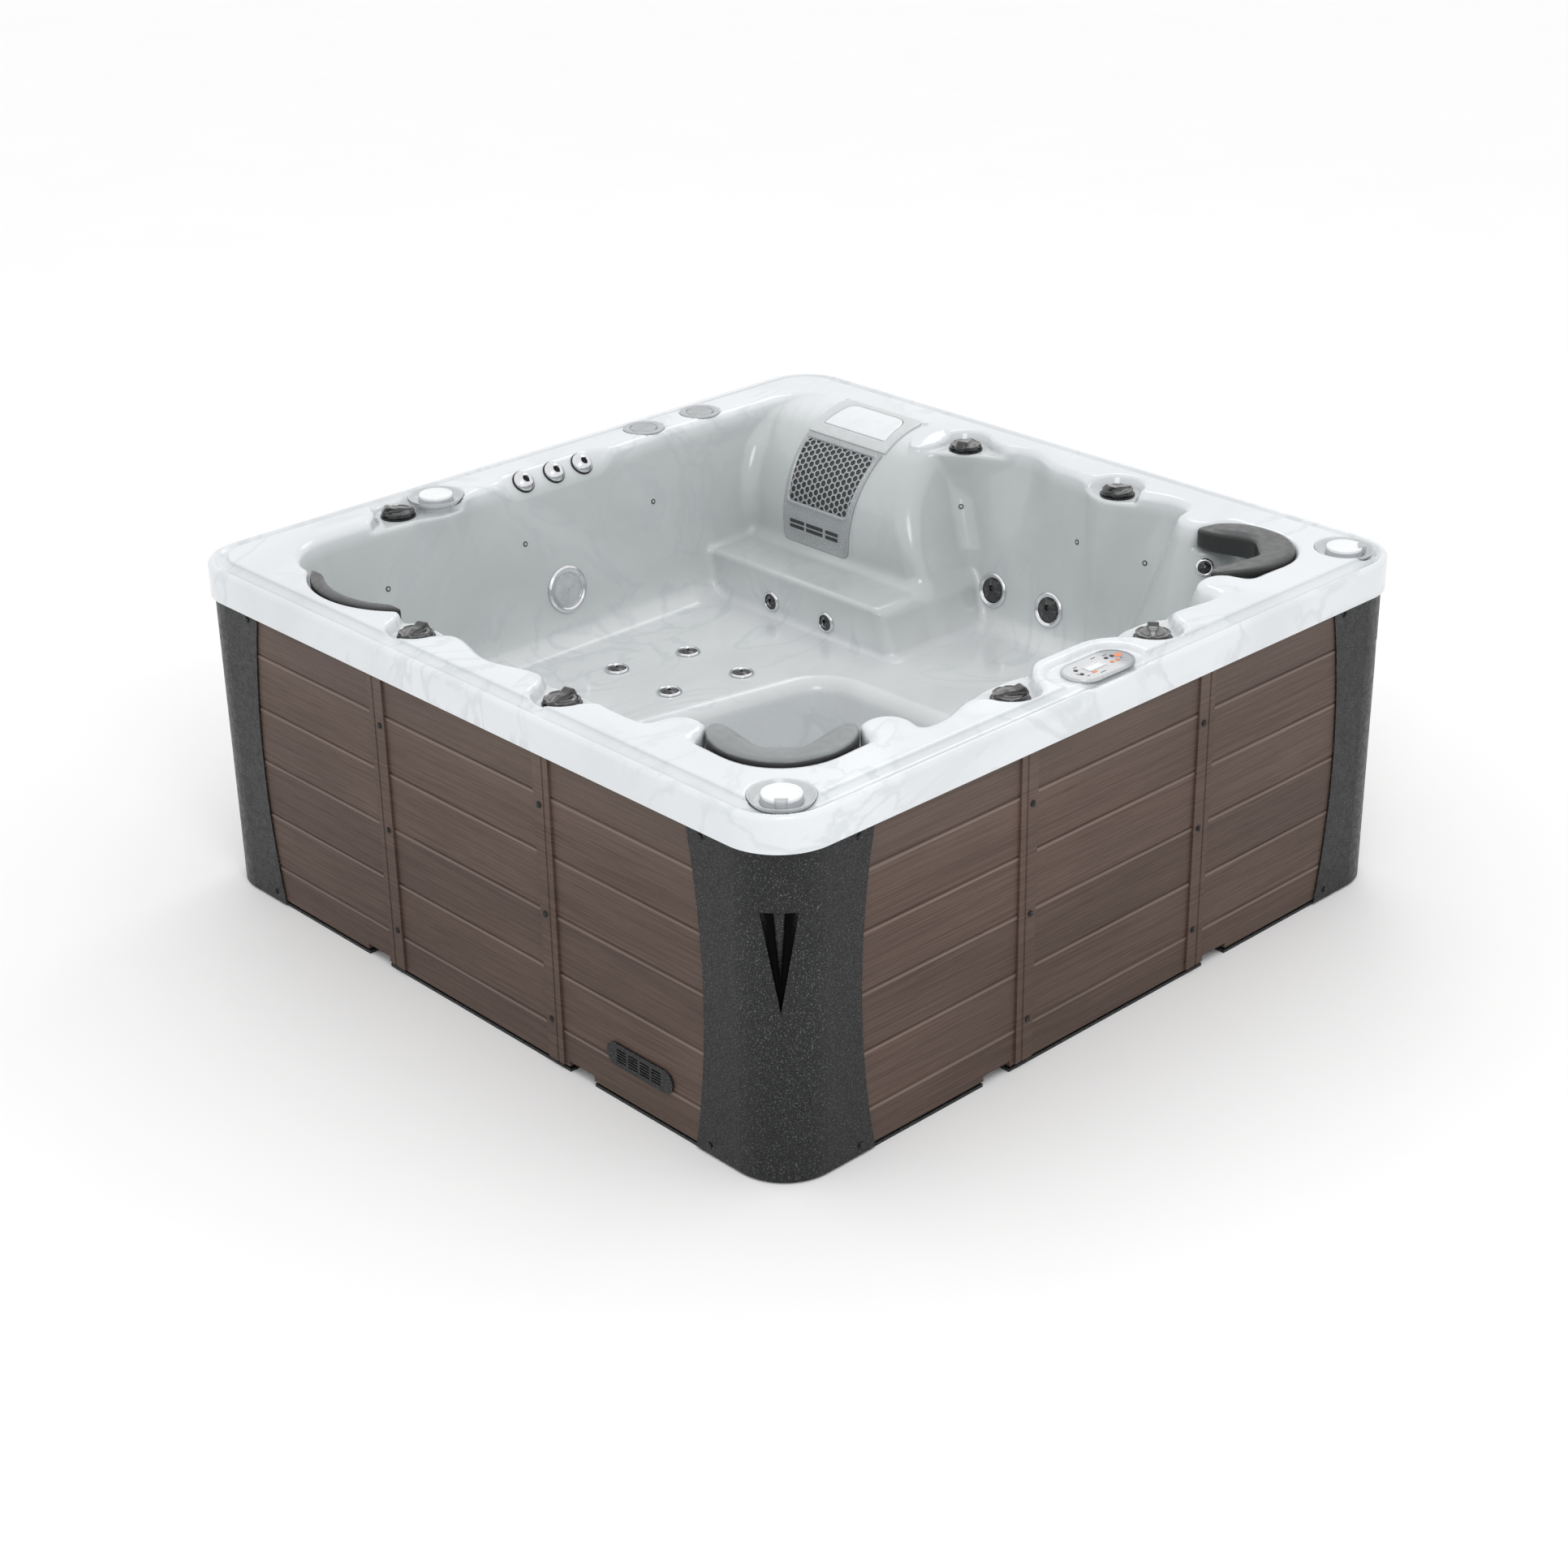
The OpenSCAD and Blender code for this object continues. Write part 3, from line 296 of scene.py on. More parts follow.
def pillow_skin(name, top_sheen_colour):
    """Soft skinned foam: near black, with a painted sheen that makes it paler where it faces up."""
    look = Look(name, Coat_Weight=0.3, Coat_Roughness=0.3)
    up = look.axes(look.node("ShaderNodeNewGeometry").outputs["Normal"])[2]
    # Painted sheen: faces that point up are mixed towards the paler colour, for light falling on the top.
    painted_top_sheen = look.span(look.math("ADD", up, look.math("MULTIPLY", look.noise(30, 4), 0.12)), 0.45, 1.0)
    colour = look.mix(painted_top_sheen, (0.006, 0.006, 0.0065), top_sheen_colour)
    look.set(Base_Color=look.tint(colour, look.noise(14, 4, seed=2), 0.93, 1.07),
             Roughness=look.span(look.noise(55, 3), 0.3, 0.7, 0.34, 0.5))
    creases = look.math("ADD", look.cells(330), look.math("MULTIPLY", look.noise(90, 3), 0.7))
    return look.bump(creases, 0.25)


def panel_silver():
    look = Look("panel_silver", Metallic=0.35)
    x = look.axes()[0]
    colour = look.mix(look.span(x, 0.02, 0.06), (0.52, 0.53, 0.54), (0.30, 0.32, 0.34))
    look.set(Base_Color=look.tint(colour, look.noise(300, 2), 0.97, 1.03),
             Roughness=look.span(look.noise(70, 3), 0.3, 0.7, 0.24, 0.36))
    return look.bump(look.cells(900), 0.05)


def lcd():
    look = Look("screen", Coat_Weight=0.8, Coat_Roughness=0.04, Roughness=0.4)
    x, y, z = look.axes()
    rows = look.math("PINGPONG", look.math("MULTIPLY", y, 400.0), 0.5)
    columns = look.math("PINGPONG", look.math("MULTIPLY", x, 400.0), 0.5)
    dots = look.span(look.math("MINIMUM", rows, columns), 0.04, 0.12)
    look.set(Base_Color=look.mix(dots, (0.60, 0.66, 0.66), (0.80, 0.84, 0.82)))
    return look.bump(look.noise(200, 2), 0.02)


def lens():
    look = Look("lens", Transmission_Weight=0.35, IOR=1.45)
    look.set(Base_Color=look.tint((0.66, 0.70, 0.71), look.noise(60, 3), 0.9, 1.08),
             Roughness=look.span(look.noise(150, 2), 0.3, 0.7, 0.12, 0.24))
    return look.bump(look.cells(430), 0.4)


def paper():
    look = Look("filter_media", Roughness=0.9)
    x, y, z = look.axes()
    pleat = look.noise(220, 2, (1, 1, 0.02))
    look.set(Base_Color=look.tint((0.66, 0.72, 0.76), pleat, 0.8, 1.1))
    return look.bump(pleat, 1.5)


def floor_look():
    look = Look("floor", Roughness=0.85)
    look.set(Base_Color=look.tint((0.93, 0.93, 0.93), look.noise(2, 3), 0.995, 1.005))
    return look.bump(look.noise(60, 3), 0.2)


LOOKS = {
    "acrylic": acrylic(), "woodgrain": woodgrain("woodgrain", True),
    "batten": woodgrain("batten", False), "trim_black": trim_black(), "timber": timber(),
    "chrome": chrome(), "pillow": pillow_skin("pillow", (0.038, 0.040, 0.042)),
    # The second pillow look is the same foam with a far paler painted sheen on top, a lit copy for the front
    # left pillow.
    "pillow_painted_sheen": pillow_skin("pillow_painted_sheen", (0.185, 0.20, 0.205)), "silver": panel_silver(), "screen": lcd(),
    "clear": lens(), "filter_media": paper(), "plate": plate(),
    "lid": moulded("lid", (0.74, 0.76, 0.78), (0.2, 0.3), 0.08, 0.03, 0.3),
    # Grey of the bowls round the pop-ups: painted shade, darker than the white acrylic of the deck.
    "popup_bowl_painted_shade": moulded("popup_bowl_painted_shade", (0.58, 0.60, 0.61), (0.2, 0.35), 0.06, 0.04, 0.3),
    "lid_edge": moulded("lid_edge", (0.56, 0.58, 0.59), (0.25, 0.4), 0.1, 0.05, 0.2),
    "black_gloss": moulded("black_gloss", (0.012, 0.012, 0.013), (0.14, 0.26), 0.04, 0.2, 0.7, 300),
    "grey_plastic": moulded("grey_plastic", (0.50, 0.52, 0.53)),
    "dark_plastic": moulded("dark_plastic", (0.03, 0.032, 0.034), (0.4, 0.6)),
    "white_plastic": moulded("white_plastic", (0.80, 0.82, 0.83), (0.22, 0.34), 0.05, 0.03, 0.4),
    "orange_mark": moulded("orange_mark", (0.72, 0.20, 0.06), (0.3, 0.4), 0.03),
    "mesh_grey": moulded("mesh_grey", (0.42, 0.43, 0.45), (0.3, 0.5), 0.1),
    "pipe": moulded("pipe", (0.82, 0.82, 0.78), (0.3, 0.45), 0.1, 0.05),
    "pump": moulded("pump", (0.05, 0.06, 0.075), (0.35, 0.55), 0.3, 0.15),
}

# ---------- meshes ----------


def piece(name, verts, faces, body, slot, look=None, crease=35, place=None, normals=None):
    """A mesh from points in millimetres, riding on a body. normals are one per face corner."""
    mesh = bpy.data.meshes.new(name)
    mesh.from_pydata((np.asarray(verts, float) * MM).tolist(), [],
                     faces.tolist() if isinstance(faces, np.ndarray) else faces)
    mesh.materials.append(LOOKS[look or slot].material)
    mesh.polygons.foreach_set("use_smooth", [True] * len(mesh.polygons))
    if normals is None:
        mesh.set_sharp_from_angle(angle=radians(crease))
    else:
        mesh.normals_split_custom_set(normals)
    return attach(bpy.data.objects.new(name, mesh), body, place)


def attach(obj, body, place=None):
    bpy.context.scene.collection.objects.link(obj)
    if place is not None:
        obj.matrix_world = place
    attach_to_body(obj, body)
    return obj


def stand(origin, normal, along=(1, 0, 0)):
    """Placement whose +Z is the normal and whose +X is as near as can be to along."""
    z = Vector(normal).normalized()
    x = (Vector(along) - z * Vector(along).dot(z)).normalized()
    turn = Matrix((x, z.cross(x), z)).transposed().to_4x4()
    return Matrix.Translation(Vector(origin) * MM) @ turn


def soften(points, radius, closed=False, steps=4):
    """An outline with its corners rounded. radius is one number, or one per point."""
    points = [Vector(p) for p in points]
    radii = radius if isinstance(radius, (list, tuple)) else [radius] * len(points)
    out = []
    for i, (p, r) in enumerate(zip(points, radii)):
        if r == 0 or (not closed and i in (0, len(points) - 1)):
            out.append(tuple(p))
            continue
        a, b = points[i - 1] - p, points[(i + 1) % len(points)] - p
        reach = min(r, a.length * 0.48, b.length * 0.48)
        a, b = p + a.normalized() * reach, p + b.normalized() * reach
        out += [tuple(a.lerp(p, t).lerp(p.lerp(b, t), t)) for t in np.linspace(0, 1, steps + 1)]
    return out


def lathe(outline, turns=48, closed=False):
    """Points and faces of an (r, z) outline turned about Z, counterclockwise in r and z."""
    angles = np.linspace(0, 2 * pi, turns, endpoint=False)
    verts, rows = [], []
    for r, z in outline:
        count = 1 if abs(r) < 1e-6 else turns
        rows.append([len(verts) + (k if count > 1 else 0) for k in range(turns)])
        verts += [(r * cos(a), r * sin(a), z) for a in angles[:count]]
    faces = []
    pairs = list(zip(rows, rows[1:])) + ([(rows[-1], rows[0])] if closed else [])
    for low, high in pairs:
        for k in range(turns):
            m = (k + 1) % turns
            face = [low[k], low[m], high[m], high[k]]
            face = [v for n, v in enumerate(face) if v not in face[:n]]
            if len(face) > 2:
                faces.append(face)
    return verts, faces


def join_meshes(*parts):
    """One mesh of several (verts, faces) pairs."""
    verts, faces = [], []
    for v, f in parts:
        start = len(verts)
        verts += [tuple(p) for p in v]
        faces += [[start + i for i in face] for face in f]
    return verts, faces


def moved(part, matrix):
    return [tuple(matrix @ Vector(v)) for v in part[0]], part[1]


def stack(outlines, heights):
    """A closed solid through outlines of equal length, one above the other."""
    n = len(outlines[0])
    verts = [(x, y, z) for outline, z in zip(outlines, heights) for x, y in outline]
    faces = [[k * n + i, k * n + (i + 1) % n, (k + 1) * n + (i + 1) % n, (k + 1) * n + i]
             for k in range(len(outlines) - 1) for i in range(n)]
    top = (len(outlines) - 1) * n
    return verts, faces + [list(range(n))[::-1], list(range(top, top + n))]


def oblong(length, width, steps=12):
    """Outline with round ends, length over all."""
    r, reach = width / 2, (length - width) / 2
    angles = [radians(a) for a in np.linspace(-90, 90, steps)]
    return ([(reach + r * cos(a), r * sin(a)) for a in angles]
            + [(-reach - r * cos(a), -r * sin(a)) for a in angles])


# ---------- distance fields ----------

def join(a, b, r):
    """Union of two solids, with a fillet of radius r between them."""
    return np.maximum(r, np.minimum(a, b)) - np.hypot(np.maximum(r - a, 0), np.maximum(r - b, 0))


def meet(a, b, r):
    """Overlap of two solids, with its edge rounded to r."""
    return np.minimum(-r, np.maximum(a, b)) + np.hypot(np.maximum(r + a, 0), np.maximum(r + b, 0))


def cut(a, b, r):
    return meet(a, -b, r)


def smooth(value, low, high):
    t = np.clip((value - low) / (high - low), 0, 1)
    return t * t * (3 - 2 * t)


def square_field(x, y, half_x, half_y, r):
    qx, qy = np.abs(x) - half_x + r, np.abs(y) - half_y + r
    return (np.hypot(np.maximum(qx, 0), np.maximum(qy, 0))
            + np.minimum(np.maximum(qx, qy), 0) - r)


def slope(field, points, reach=0.5):
    """Gradient of a field at points, one row each."""
    out = np.empty_like(points)
    for axis in range(3):
        step = np.zeros(3)
        step[axis] = reach
        out[:, axis] = (field(*(points + step).T) - field(*(points - step).T)) / (2 * reach)
    return out


def surface(field, lines, passes=3):
    """Quads and normals on field = 0, over a grid with its lines at the given places."""
    lines = [np.asarray(line, float) for line in lines]
    values = np.empty([len(line) for line in lines], np.float32)
    x, y = np.meshgrid(lines[0], lines[1], indexing="ij")
    for k, z in enumerate(lines[2]):
        values[:, :, k] = field(x, y, z)
    inside = values < 0
    count = sum(inside[tuple(slice(o, o - 1 or None) for o in offset)].astype(np.int8)
                for offset in product((0, 1), repeat=3))
    mixed = (count > 0) & (count < 8)
    number = np.full(mixed.shape, -1)
    number[mixed] = np.arange(mixed.sum())
    cell = np.array(np.nonzero(mixed))
    total, hits = np.zeros((cell.shape[1], 3)), np.zeros(cell.shape[1])
    for axis in range(3):
        others = [m for m in range(3) if m != axis]
        for a, b in product((0, 1), repeat=2):
            p = cell.copy()
            p[others[0]] += a
            p[others[1]] += b
            q = p.copy()
            q[axis] += 1
            low, high = values[tuple(p)].astype(float), values[tuple(q)].astype(float)
            crossed = (low < 0) != (high < 0)
            place = np.stack([lines[m][p[m]] for m in range(3)], 1)
            part = np.where(crossed, low / np.where(crossed, low - high, 1), 0)
            place[:, axis] += part * (lines[axis][q[axis]] - lines[axis][p[axis]])
            total[crossed] += place[crossed]
            hits[crossed] += 1
    points = total / hits[:, None]
    quads = []
    for axis in range(3):
        u, v = (axis + 1) % 3, (axis + 2) % 3
        ends = [slice(None)] * 3
        ends[axis] = slice(0, -1)
        low = inside[tuple(ends)]
        ends[axis] = slice(1, None)
        node = np.array(np.nonzero(low != inside[tuple(ends)]))
        kept = ((node[u] > 0) & (node[v] > 0)
                & (node[u] < number.shape[u]) & (node[v] < number.shape[v]))
        node = node[:, kept]
        ring = []
        for du, dv in ((0, 0), (1, 0), (1, 1), (0, 1)):
            c = node.copy()
            c[u] -= du
            c[v] -= dv
            ring.append(number[tuple(c)])
        ring = np.stack(ring, 1)
        ring[~low[tuple(node)]] = ring[~low[tuple(node)]][:, ::-1]
        quads.append(ring)
    for _ in range(passes):
        g = slope(field, points)
        step = field(*points.T) / np.maximum((g * g).sum(1), 0.2)
        points -= np.clip(step, -6, 6)[:, None] * g
    normals = slope(field, points)
    normals /= np.maximum(np.linalg.norm(normals, axis=1), 1e-9)[:, None]
    return points, np.vstack(quads), normals


# ---------- the shell's field: negative below the moulded face ----------

def wall_at(z):
    return RIM - (DECK - z) * DRAFT


# Waves in the rim between the seats: side, place along it, half-length, shift outwards
RIM_WAVES = [("left", 20, 105, 34), ("left", -440, 120, 14), ("right", 78, 90, 46),
             ("right", -445, 70, 22), ("front", -500, 105, 34), ("front", 500, 90, 14),
             ("rear", -700, 150, 8), ("rear", 420, 150, 10)]


def wave_shift(side, along):
    shift = 0
    for name, place, reach, amount in RIM_WAVES:
        if name == side:
            t = np.clip(np.abs(along - place) / (1.6 * reach), 0, 1)
            shift = shift + amount * (1 + np.cos(pi * t)) / 2
    return shift


KNOBS = {name: middle("knob_" + name) for name in
         ("rear", "left_1", "left_2", "front_1", "front_2", "right_1", "right_2")}
INWARDS = {"rear": (0, -1), "left_1": (1, 0), "left_2": (1, 0), "front_1": (0, 1),
           "front_2": (0, 1), "right_1": (-0.846, -0.533), "right_2": (-1, 0)}
# Pads that stand into the basin under the knobs: shift along, half-length, peak, flat front
PADS = {"left_1": (5, 118, 34, 26), "left_2": (-15, 112, 30, 22), "front_1": (35, 150, 90, 43),
        "front_2": (18, 125, 90, 43), "right_2": (5, 105, 62, 56)}
PAD_LEAN = 0.114                        # how fast a pad's column runs back into the wall
CORNER_FACE = 47                        # front of the pad of knob right_1, from the knob's axis
POPUPS = [middle(name) for name in ("popup_front_left", "popup_front_right", "popup_rear")]
SPEAKER_LOW, SPEAKER_HIGH = corners("speaker_grilles")
SPEAKER_R = 58
SPEAKERS = [(SPEAKER_LOW[0] + SPEAKER_R, SPEAKER_HIGH[1] - SPEAKER_R),
            (SPEAKER_HIGH[0] - SPEAKER_R, SPEAKER_LOW[1] + SPEAKER_R)]
PANEL = middle("panel_bezel")
PANEL_FLOOR = corners("panel_bezel")[1][2] - 7.3
FOUNTAINS = [middle("fountain_nozzle_%d" % i)[0] for i in (1, 2, 3)]
LEDGE_Y = RIM + 40                      # back edge of the fountains' ledge, on the deck
SCOOP_D, SCOOP_R = 771, 171             # scoops behind the corner pillows
SIDE_SCOOP = (-742, 585, 276)           # scoop behind the left pillow
FILTER_X, FILTER_Z, FILTER_R = 950, DECK - 290, 290
FILTER_Y = middle("filter_faceplate")[1]
STEP_Z, RISER_X, FLANK_Y, FLANK_SLOPE = 555, 480, 180, 0.445
# Shoulders beside the corner pillows and bulges of the rim: centre, radius
SHOULDERS = [((s * 912, -585), 62) for s in (-1, 1)] + [((s * 585, -912), 62) for s in (-1, 1)]
FOOTWELL = [(-335, -335), (300, -335), (290, 190), (-335, 312)]


def polygon_field(x, y, points, r):
    """Overlap of the half-planes of a counterclockwise outline, with corners of radius r."""
    field = None
    for (x0, y0), (x1, y1) in zip(points, points[1:] + points[:1]):
        length = hypot(x1 - x0, y1 - y0)
        side = ((x - x0) * (y1 - y0) - (y - y0) * (x1 - x0)) / length
        field = side if field is None else meet(field, side, r)
    return field


def basin_field(x, y, z):
    """Negative in the space above the seats."""
    fade = smooth(z, 600, 905)
    half_x = wall_at(z) + fade * np.where(x < 0, wave_shift("left", y), wave_shift("right", y))
    half_y = wall_at(z) + fade * np.where(y < 0, wave_shift("front", x), wave_shift("rear", x))
    space = square_field(x, y, half_x, half_y, 150) * LEAN
    below = DECK - z
    for (cx, cy), r in SHOULDERS:
        space = meet(space, 0.32 * below + r - np.hypot(x - cx, y - cy), 34)
    bulge = np.hypot(x + 400, y - 990) - 92 + 0.3 * below
    space = meet(space, -bulge, 45)
    run = np.hypot(np.maximum(np.abs(x + 10) - 62, 0), y + 985) - 88 + 0.35 * below
    space = meet(space, -run, 45)
    return meet(space, SEAT - z, 58)


def footwell_field(x, y, z):
    below = SEAT - z
    lean = 0.16 * below
    space = polygon_field(x, y, FOOTWELL, 90) + lean
    return meet(space * 0.985, FLOOR - z, 46)


def filter_field(x, y, z):
    """The filter corner with its round face, and the step beside it."""
    above = np.maximum(z - FILTER_Z, 0)
    face = np.hypot(np.minimum(x - FILTER_X, 0), above) - FILTER_R
    face = np.where(z > FILTER_Z, face, FILTER_X - FILTER_R - x)
    flank = (FLANK_Y + (z - STEP_Z) * FLANK_SLOPE - y) / hypot(1, FLANK_SLOPE)
    block = meet(face, flank, 52)
    step = meet(meet(RISER_X - x, z - STEP_Z, 16), flank, 30)
    return join(block, step, 38)


def knob_frame(name, x, y):
    """Distance along the rim and inwards from a knob's axis."""
    nx, ny = INWARDS[name]
    dx, dy = x - KNOBS[name][0], y - KNOBS[name][1]
    return dx * -ny + dy * nx, dx * nx + dy * ny


def pad_field(name, x, y, z):
    """Column under a knob's pad, up to the deck."""
    along, inwards = knob_frame(name, x, y)
    back = PAD_LEAN * (PAD - z)
    top = z - PAD - 14
    if name == "right_1":
        front = meet(inwards - CORNER_FACE + back, -60 - inwards, 5)
        return meet(meet(front, np.abs(along) - 150, 5), top, 3)
    shift, half, peak, flat = PADS[name]
    if INWARDS[name][0] < 0 or INWARDS[name][1] > 0:
        shift = -shift
    wall = max(abs(KNOBS[name][0]), abs(KNOBS[name][1])) - wall_at(z)
    v = inwards - wall + back
    slant = hypot(1 / half, 1 / peak)
    sides = meet(((along - shift) / half + v / peak - 1) / slant,
                 ((shift - along) / half + v / peak - 1) / slant, 20)
    return meet(meet(meet(sides, v - flat, 30), -70 - v, 5), top, 3)


def pocket_field(name, x, y, z):
    """Space round a knob, open towards the basin."""
    along, inwards = knob_frame(name, x, y)
    r = 59 + 0.5 * (z - PAD)
    round_part = np.hypot(along, inwards) - r
    mouth = meet((np.abs(along) - r - 1.15 * inwards) / 1.52, -inwards, 6)
    space = join(round_part, meet(mouth, inwards - 150, 5), 25) * 0.9
    return meet(space, PAD - z, 6)


def ledge_field(x, y, z):
    """Sloping cut for the fountains, with slanting ends."""
    facet = ((y - LEDGE_Y) - (z - DECK)) / hypot(1, 1)
    mid = (FOUNTAINS[0] + FOUNTAINS[-1]) / 2
    reach = (FOUNTAINS[-1] - FOUNTAINS[0]) / 2 + 115
    end = 0.49 * (np.abs(x - mid) - reach) + 0.6655 * (y - RIM + 9) - 0.5625 * (z - DECK)
    return meet(meet(facet, end, 8), RIM - 90 - y, 5)


def gutter_field(x, y, z):
    edge = square_field(x, y, HALF, HALF, LIP_R)
    return np.hypot(edge + 32, z - (DECK - 8 + 32)) - 37


def mould(x, y, z):
    """The whole shell as one solid, negative below its face."""
    edge = square_field(x, y, HALF, HALF, LIP_R)
    solid = meet(edge, z - (DECK - 7), 12)
    solid = cut(solid, np.hypot(edge + 35, z - (DECK + 5)) - 22, 3)
    solid = join(solid, meet(square_field(x, y, HALF - 52, HALF - 52, LIP_R - 52), z - DECK, 4), 2)
    slab = solid
    solid = cut(solid, basin_field(x, y, z), 21)
    reach = np.minimum(0.5 * (DECK - 10 - z), 22 + 0.5 * np.maximum(z - 570, 0))
    solid = np.maximum(join(solid, filter_field(x, y, z), np.clip(reach, 4, 50)), slab)
    solid = cut(solid, footwell_field(x, y, z), 42)
    for name in (*PADS, "right_1"):
        solid = join(solid, pad_field(name, x, y, z), 18)
    for name in KNOBS:
        solid = cut(solid, pocket_field(name, x, y, z), 9)
    solid = cut(solid, ledge_field(x, y, z), 9)
    for s in (-1, 1):
        scoop = meet(np.hypot(x - s * SCOOP_D, y + SCOOP_D) - SCOOP_R, DECK - 65 - z, 8)
        solid = cut(solid, scoop, 11)
    cx, cy, r = SIDE_SCOOP
    solid = cut(solid, meet(np.hypot(x - cx, y - cy) - r, DECK - 65 - z, 8), 11)
    arch = np.hypot(np.maximum(np.abs(x - PANEL[0] + 8) - 62, 0), y - PANEL[1] + 2) - 74
    solid = cut(solid, meet(arch - 0.7 * (z - PANEL_FLOOR), PANEL_FLOOR - z, 5), 7)
    for cx, cy, _ in POPUPS:
        away = np.hypot(x - cx, y - cy)
        bowl = meet(away - 76 - 0.35 * (z - DECK), DECK - 20 - z, 10)
        solid = cut(solid, bowl, 4)
    for cx, cy, _ in POPUPS[:2]:
        turn = 1 if cx < 0 else -1
        out = (-turn * (x - cx) - (y - cy)) / hypot(1, 1)
        side = np.abs(turn * (y - cy) - (x - cx)) / hypot(1, 1)
        drain = meet(side - 15 - 0.4 * np.maximum(out - 66, 0), DECK - 19 - z, 4)
        solid = cut(solid, meet(meet(drain, 50 - out, 3), out - 76, 3), 5)
    for cx, cy in SPEAKERS:
        solid = cut(solid, meet(np.hypot(x - cx, y - cy) - 61, DECK - 4 - z, 2), 3)
    return solid


def grid_lines(low, high, fine_low, fine_high, fine, coarse):
    """Places from low to high, fine between the fine limits and coarse outside them."""
    parts = [np.linspace(a, b, max(2, ceil((b - a) / step) + 1))[:-1]
             for a, b, step in ((low, fine_low, coarse), (fine_low, fine_high, fine),
                                (fine_high, high, coarse)) if b > a]
    return np.append(np.concatenate(parts), high)


def hit(start, towards):
    """Where a line from inside the basin meets the acrylic, and the outward normal there."""
    start, towards = np.array(start, float), np.array(towards, float)
    steps = np.arange(0, 700, 0.5)[:, None]
    points = start + steps * towards
    values = mould(*points.T)
    k = int(np.argmax(values < 0))
    part = values[k - 1] / (values[k - 1] - values[k])
    point = points[k - 1] + part * (points[k] - points[k - 1])
    normal = slope(mould, point[None])[0]
    return point, normal / np.linalg.norm(normal)

# ---------- the shell ----------

THICKNESS = 6                           # of the visible shell
# Faces left out where a fitting passes through: centre node, radius, depth each way
BASIN_HOLES = ([("seat_jet_%d" % i, 24, 14) for i in (1, 2, 3, 4)]
               + [("riser_jet_%d" % i, 24, 14) for i in (1, 2)]
               + [("wall_jet_%d" % i, 36, 14) for i in (1, 2)])


def open_places(p):
    """True for the points of the face where the shell is open behind a fitting."""
    x, y, z = p.T
    gone = (np.maximum(np.abs(x), np.abs(y)) > 1000) & (z < LIP_Z)
    for node, r, depth in BASIN_HOLES:
        gone |= np.linalg.norm(p - seat_of(node), axis=1) < r
    gone |= np.linalg.norm(p - seat_of("light_bezel"), axis=1) < 54
    for k in KNOBS.values():
        gone |= (np.hypot(x - k[0], y - k[1]) < 20) & (z > PAD - 10)
    for c in POPUPS:
        gone |= (np.hypot(x - c[0], y - c[1]) < 48) & (z > DECK - 20)
    for cx, cy in SPEAKERS:
        gone |= (np.hypot(x - cx, y - cy) < 42) & (z > DECK - 20)
    gone |= ((np.abs(y - FILTER_Y) < 100) & (x > 640) & (x < 760) & (z > DECK - 213) & (z < DECK - 83))
    gone |= ((np.abs(y - FILTER_Y) < 118) & (x > 800) & (x < 926) & (z > DECK - 115))
    return gone | ((np.abs(x - PANEL[0]) < 74) & (np.abs(y - PANEL[1]) < 24) & (z > DECK - 30))


def seat_of(node):
    """The point of the basin's face that a jet or the light stands on."""
    low, high = corners(node)
    mid = (low + high) / 2
    if node.startswith("seat"):
        return np.array([mid[0], mid[1], SEAT])
    if node.startswith("riser"):
        return np.array([RISER_X, mid[1], mid[2]])
    if node.startswith("wall"):
        return np.array([wall_at(WALL_JET_Z), mid[1], WALL_JET_Z])
    return np.array([mid[0], wall_at(LIGHT_Z), LIGHT_Z])


def on_leaning_wall(node, high_end, low_end):
    """Height at which the axis of a fitting square to a leaning wall meets that wall.

    The node's widest part reaches high_end out of the wall and low_end into it."""
    low, high = corners(node)
    return (low[2] + high[2]) / 2 - (high_end - low_end) / 2 * DRAFT * LEAN


WALL_JET_Z = on_leaning_wall("wall_jet_1", 11, -1)
LIGHT_Z = on_leaning_wall("light_bezel", 8.4, 40)


def add_shell():
    coarse, fine = ((8, 5.5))
    band = HALF - 250
    span = np.concatenate([-grid_lines(band, HALF + 9, band, HALF + 9, fine, coarse)[::-1],
                           grid_lines(-band, band, -band, -band, fine, coarse)[1:-1],
                           grid_lines(band, HALF + 9, band, HALF + 9, fine, coarse)])
    lines = [span, span, grid_lines(FLOOR - 20, DECK + 9, LIP_Z - 8, DECK + 9, fine, coarse)]
    points, quads, normals = surface(mould, lines)
    quads = quads[~open_places(points[quads].mean(1))]
    used, quads = np.unique(quads, return_inverse=True)
    points, normals, quads = points[used], normals[used], quads.reshape(-1, 4)
    # The lip's face ends in one level edge
    pairs = np.stack([quads, np.roll(quads, -1, 1)], 2).reshape(-1, 2)
    code = pairs.min(1) * len(points) + pairs.max(1)
    _, index, counts = np.unique(code, return_index=True, return_counts=True)
    border = pairs[index[counts == 1]]
    rim = np.unique(border)
    rim = rim[np.abs(points[rim, :2]).max(1) > HALF - 60]
    rim = rim[points[rim, 2] < LIP_Z + 12]
    points[rim, 2] = LIP_Z
    n = len(points)
    sides = np.stack([border[:, 1], border[:, 0], border[:, 0] + n, border[:, 1] + n], 1)
    verts = np.vstack([points, points - THICKNESS * normals])
    faces = np.vstack([quads, quads[:, ::-1] + n, sides])
    a, b, c = (verts[sides[:, k]] for k in (0, 1, 2))
    flat = np.cross(b - a, c - b)
    flat /= np.maximum(np.linalg.norm(flat, axis=1), 1e-9)[:, None]
    corner_normals = np.vstack([normals[quads].reshape(-1, 3), -normals[quads[:, ::-1]].reshape(-1, 3),
                                np.repeat(flat, 4, 0)])
    shell = piece("tub_shell", verts, faces, "tub", "acrylic", normals=corner_normals)
    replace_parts(shell, "acrylic_shell")
    print("shell", len(verts), "points", len(faces), "faces")

# ---------- fittings ----------

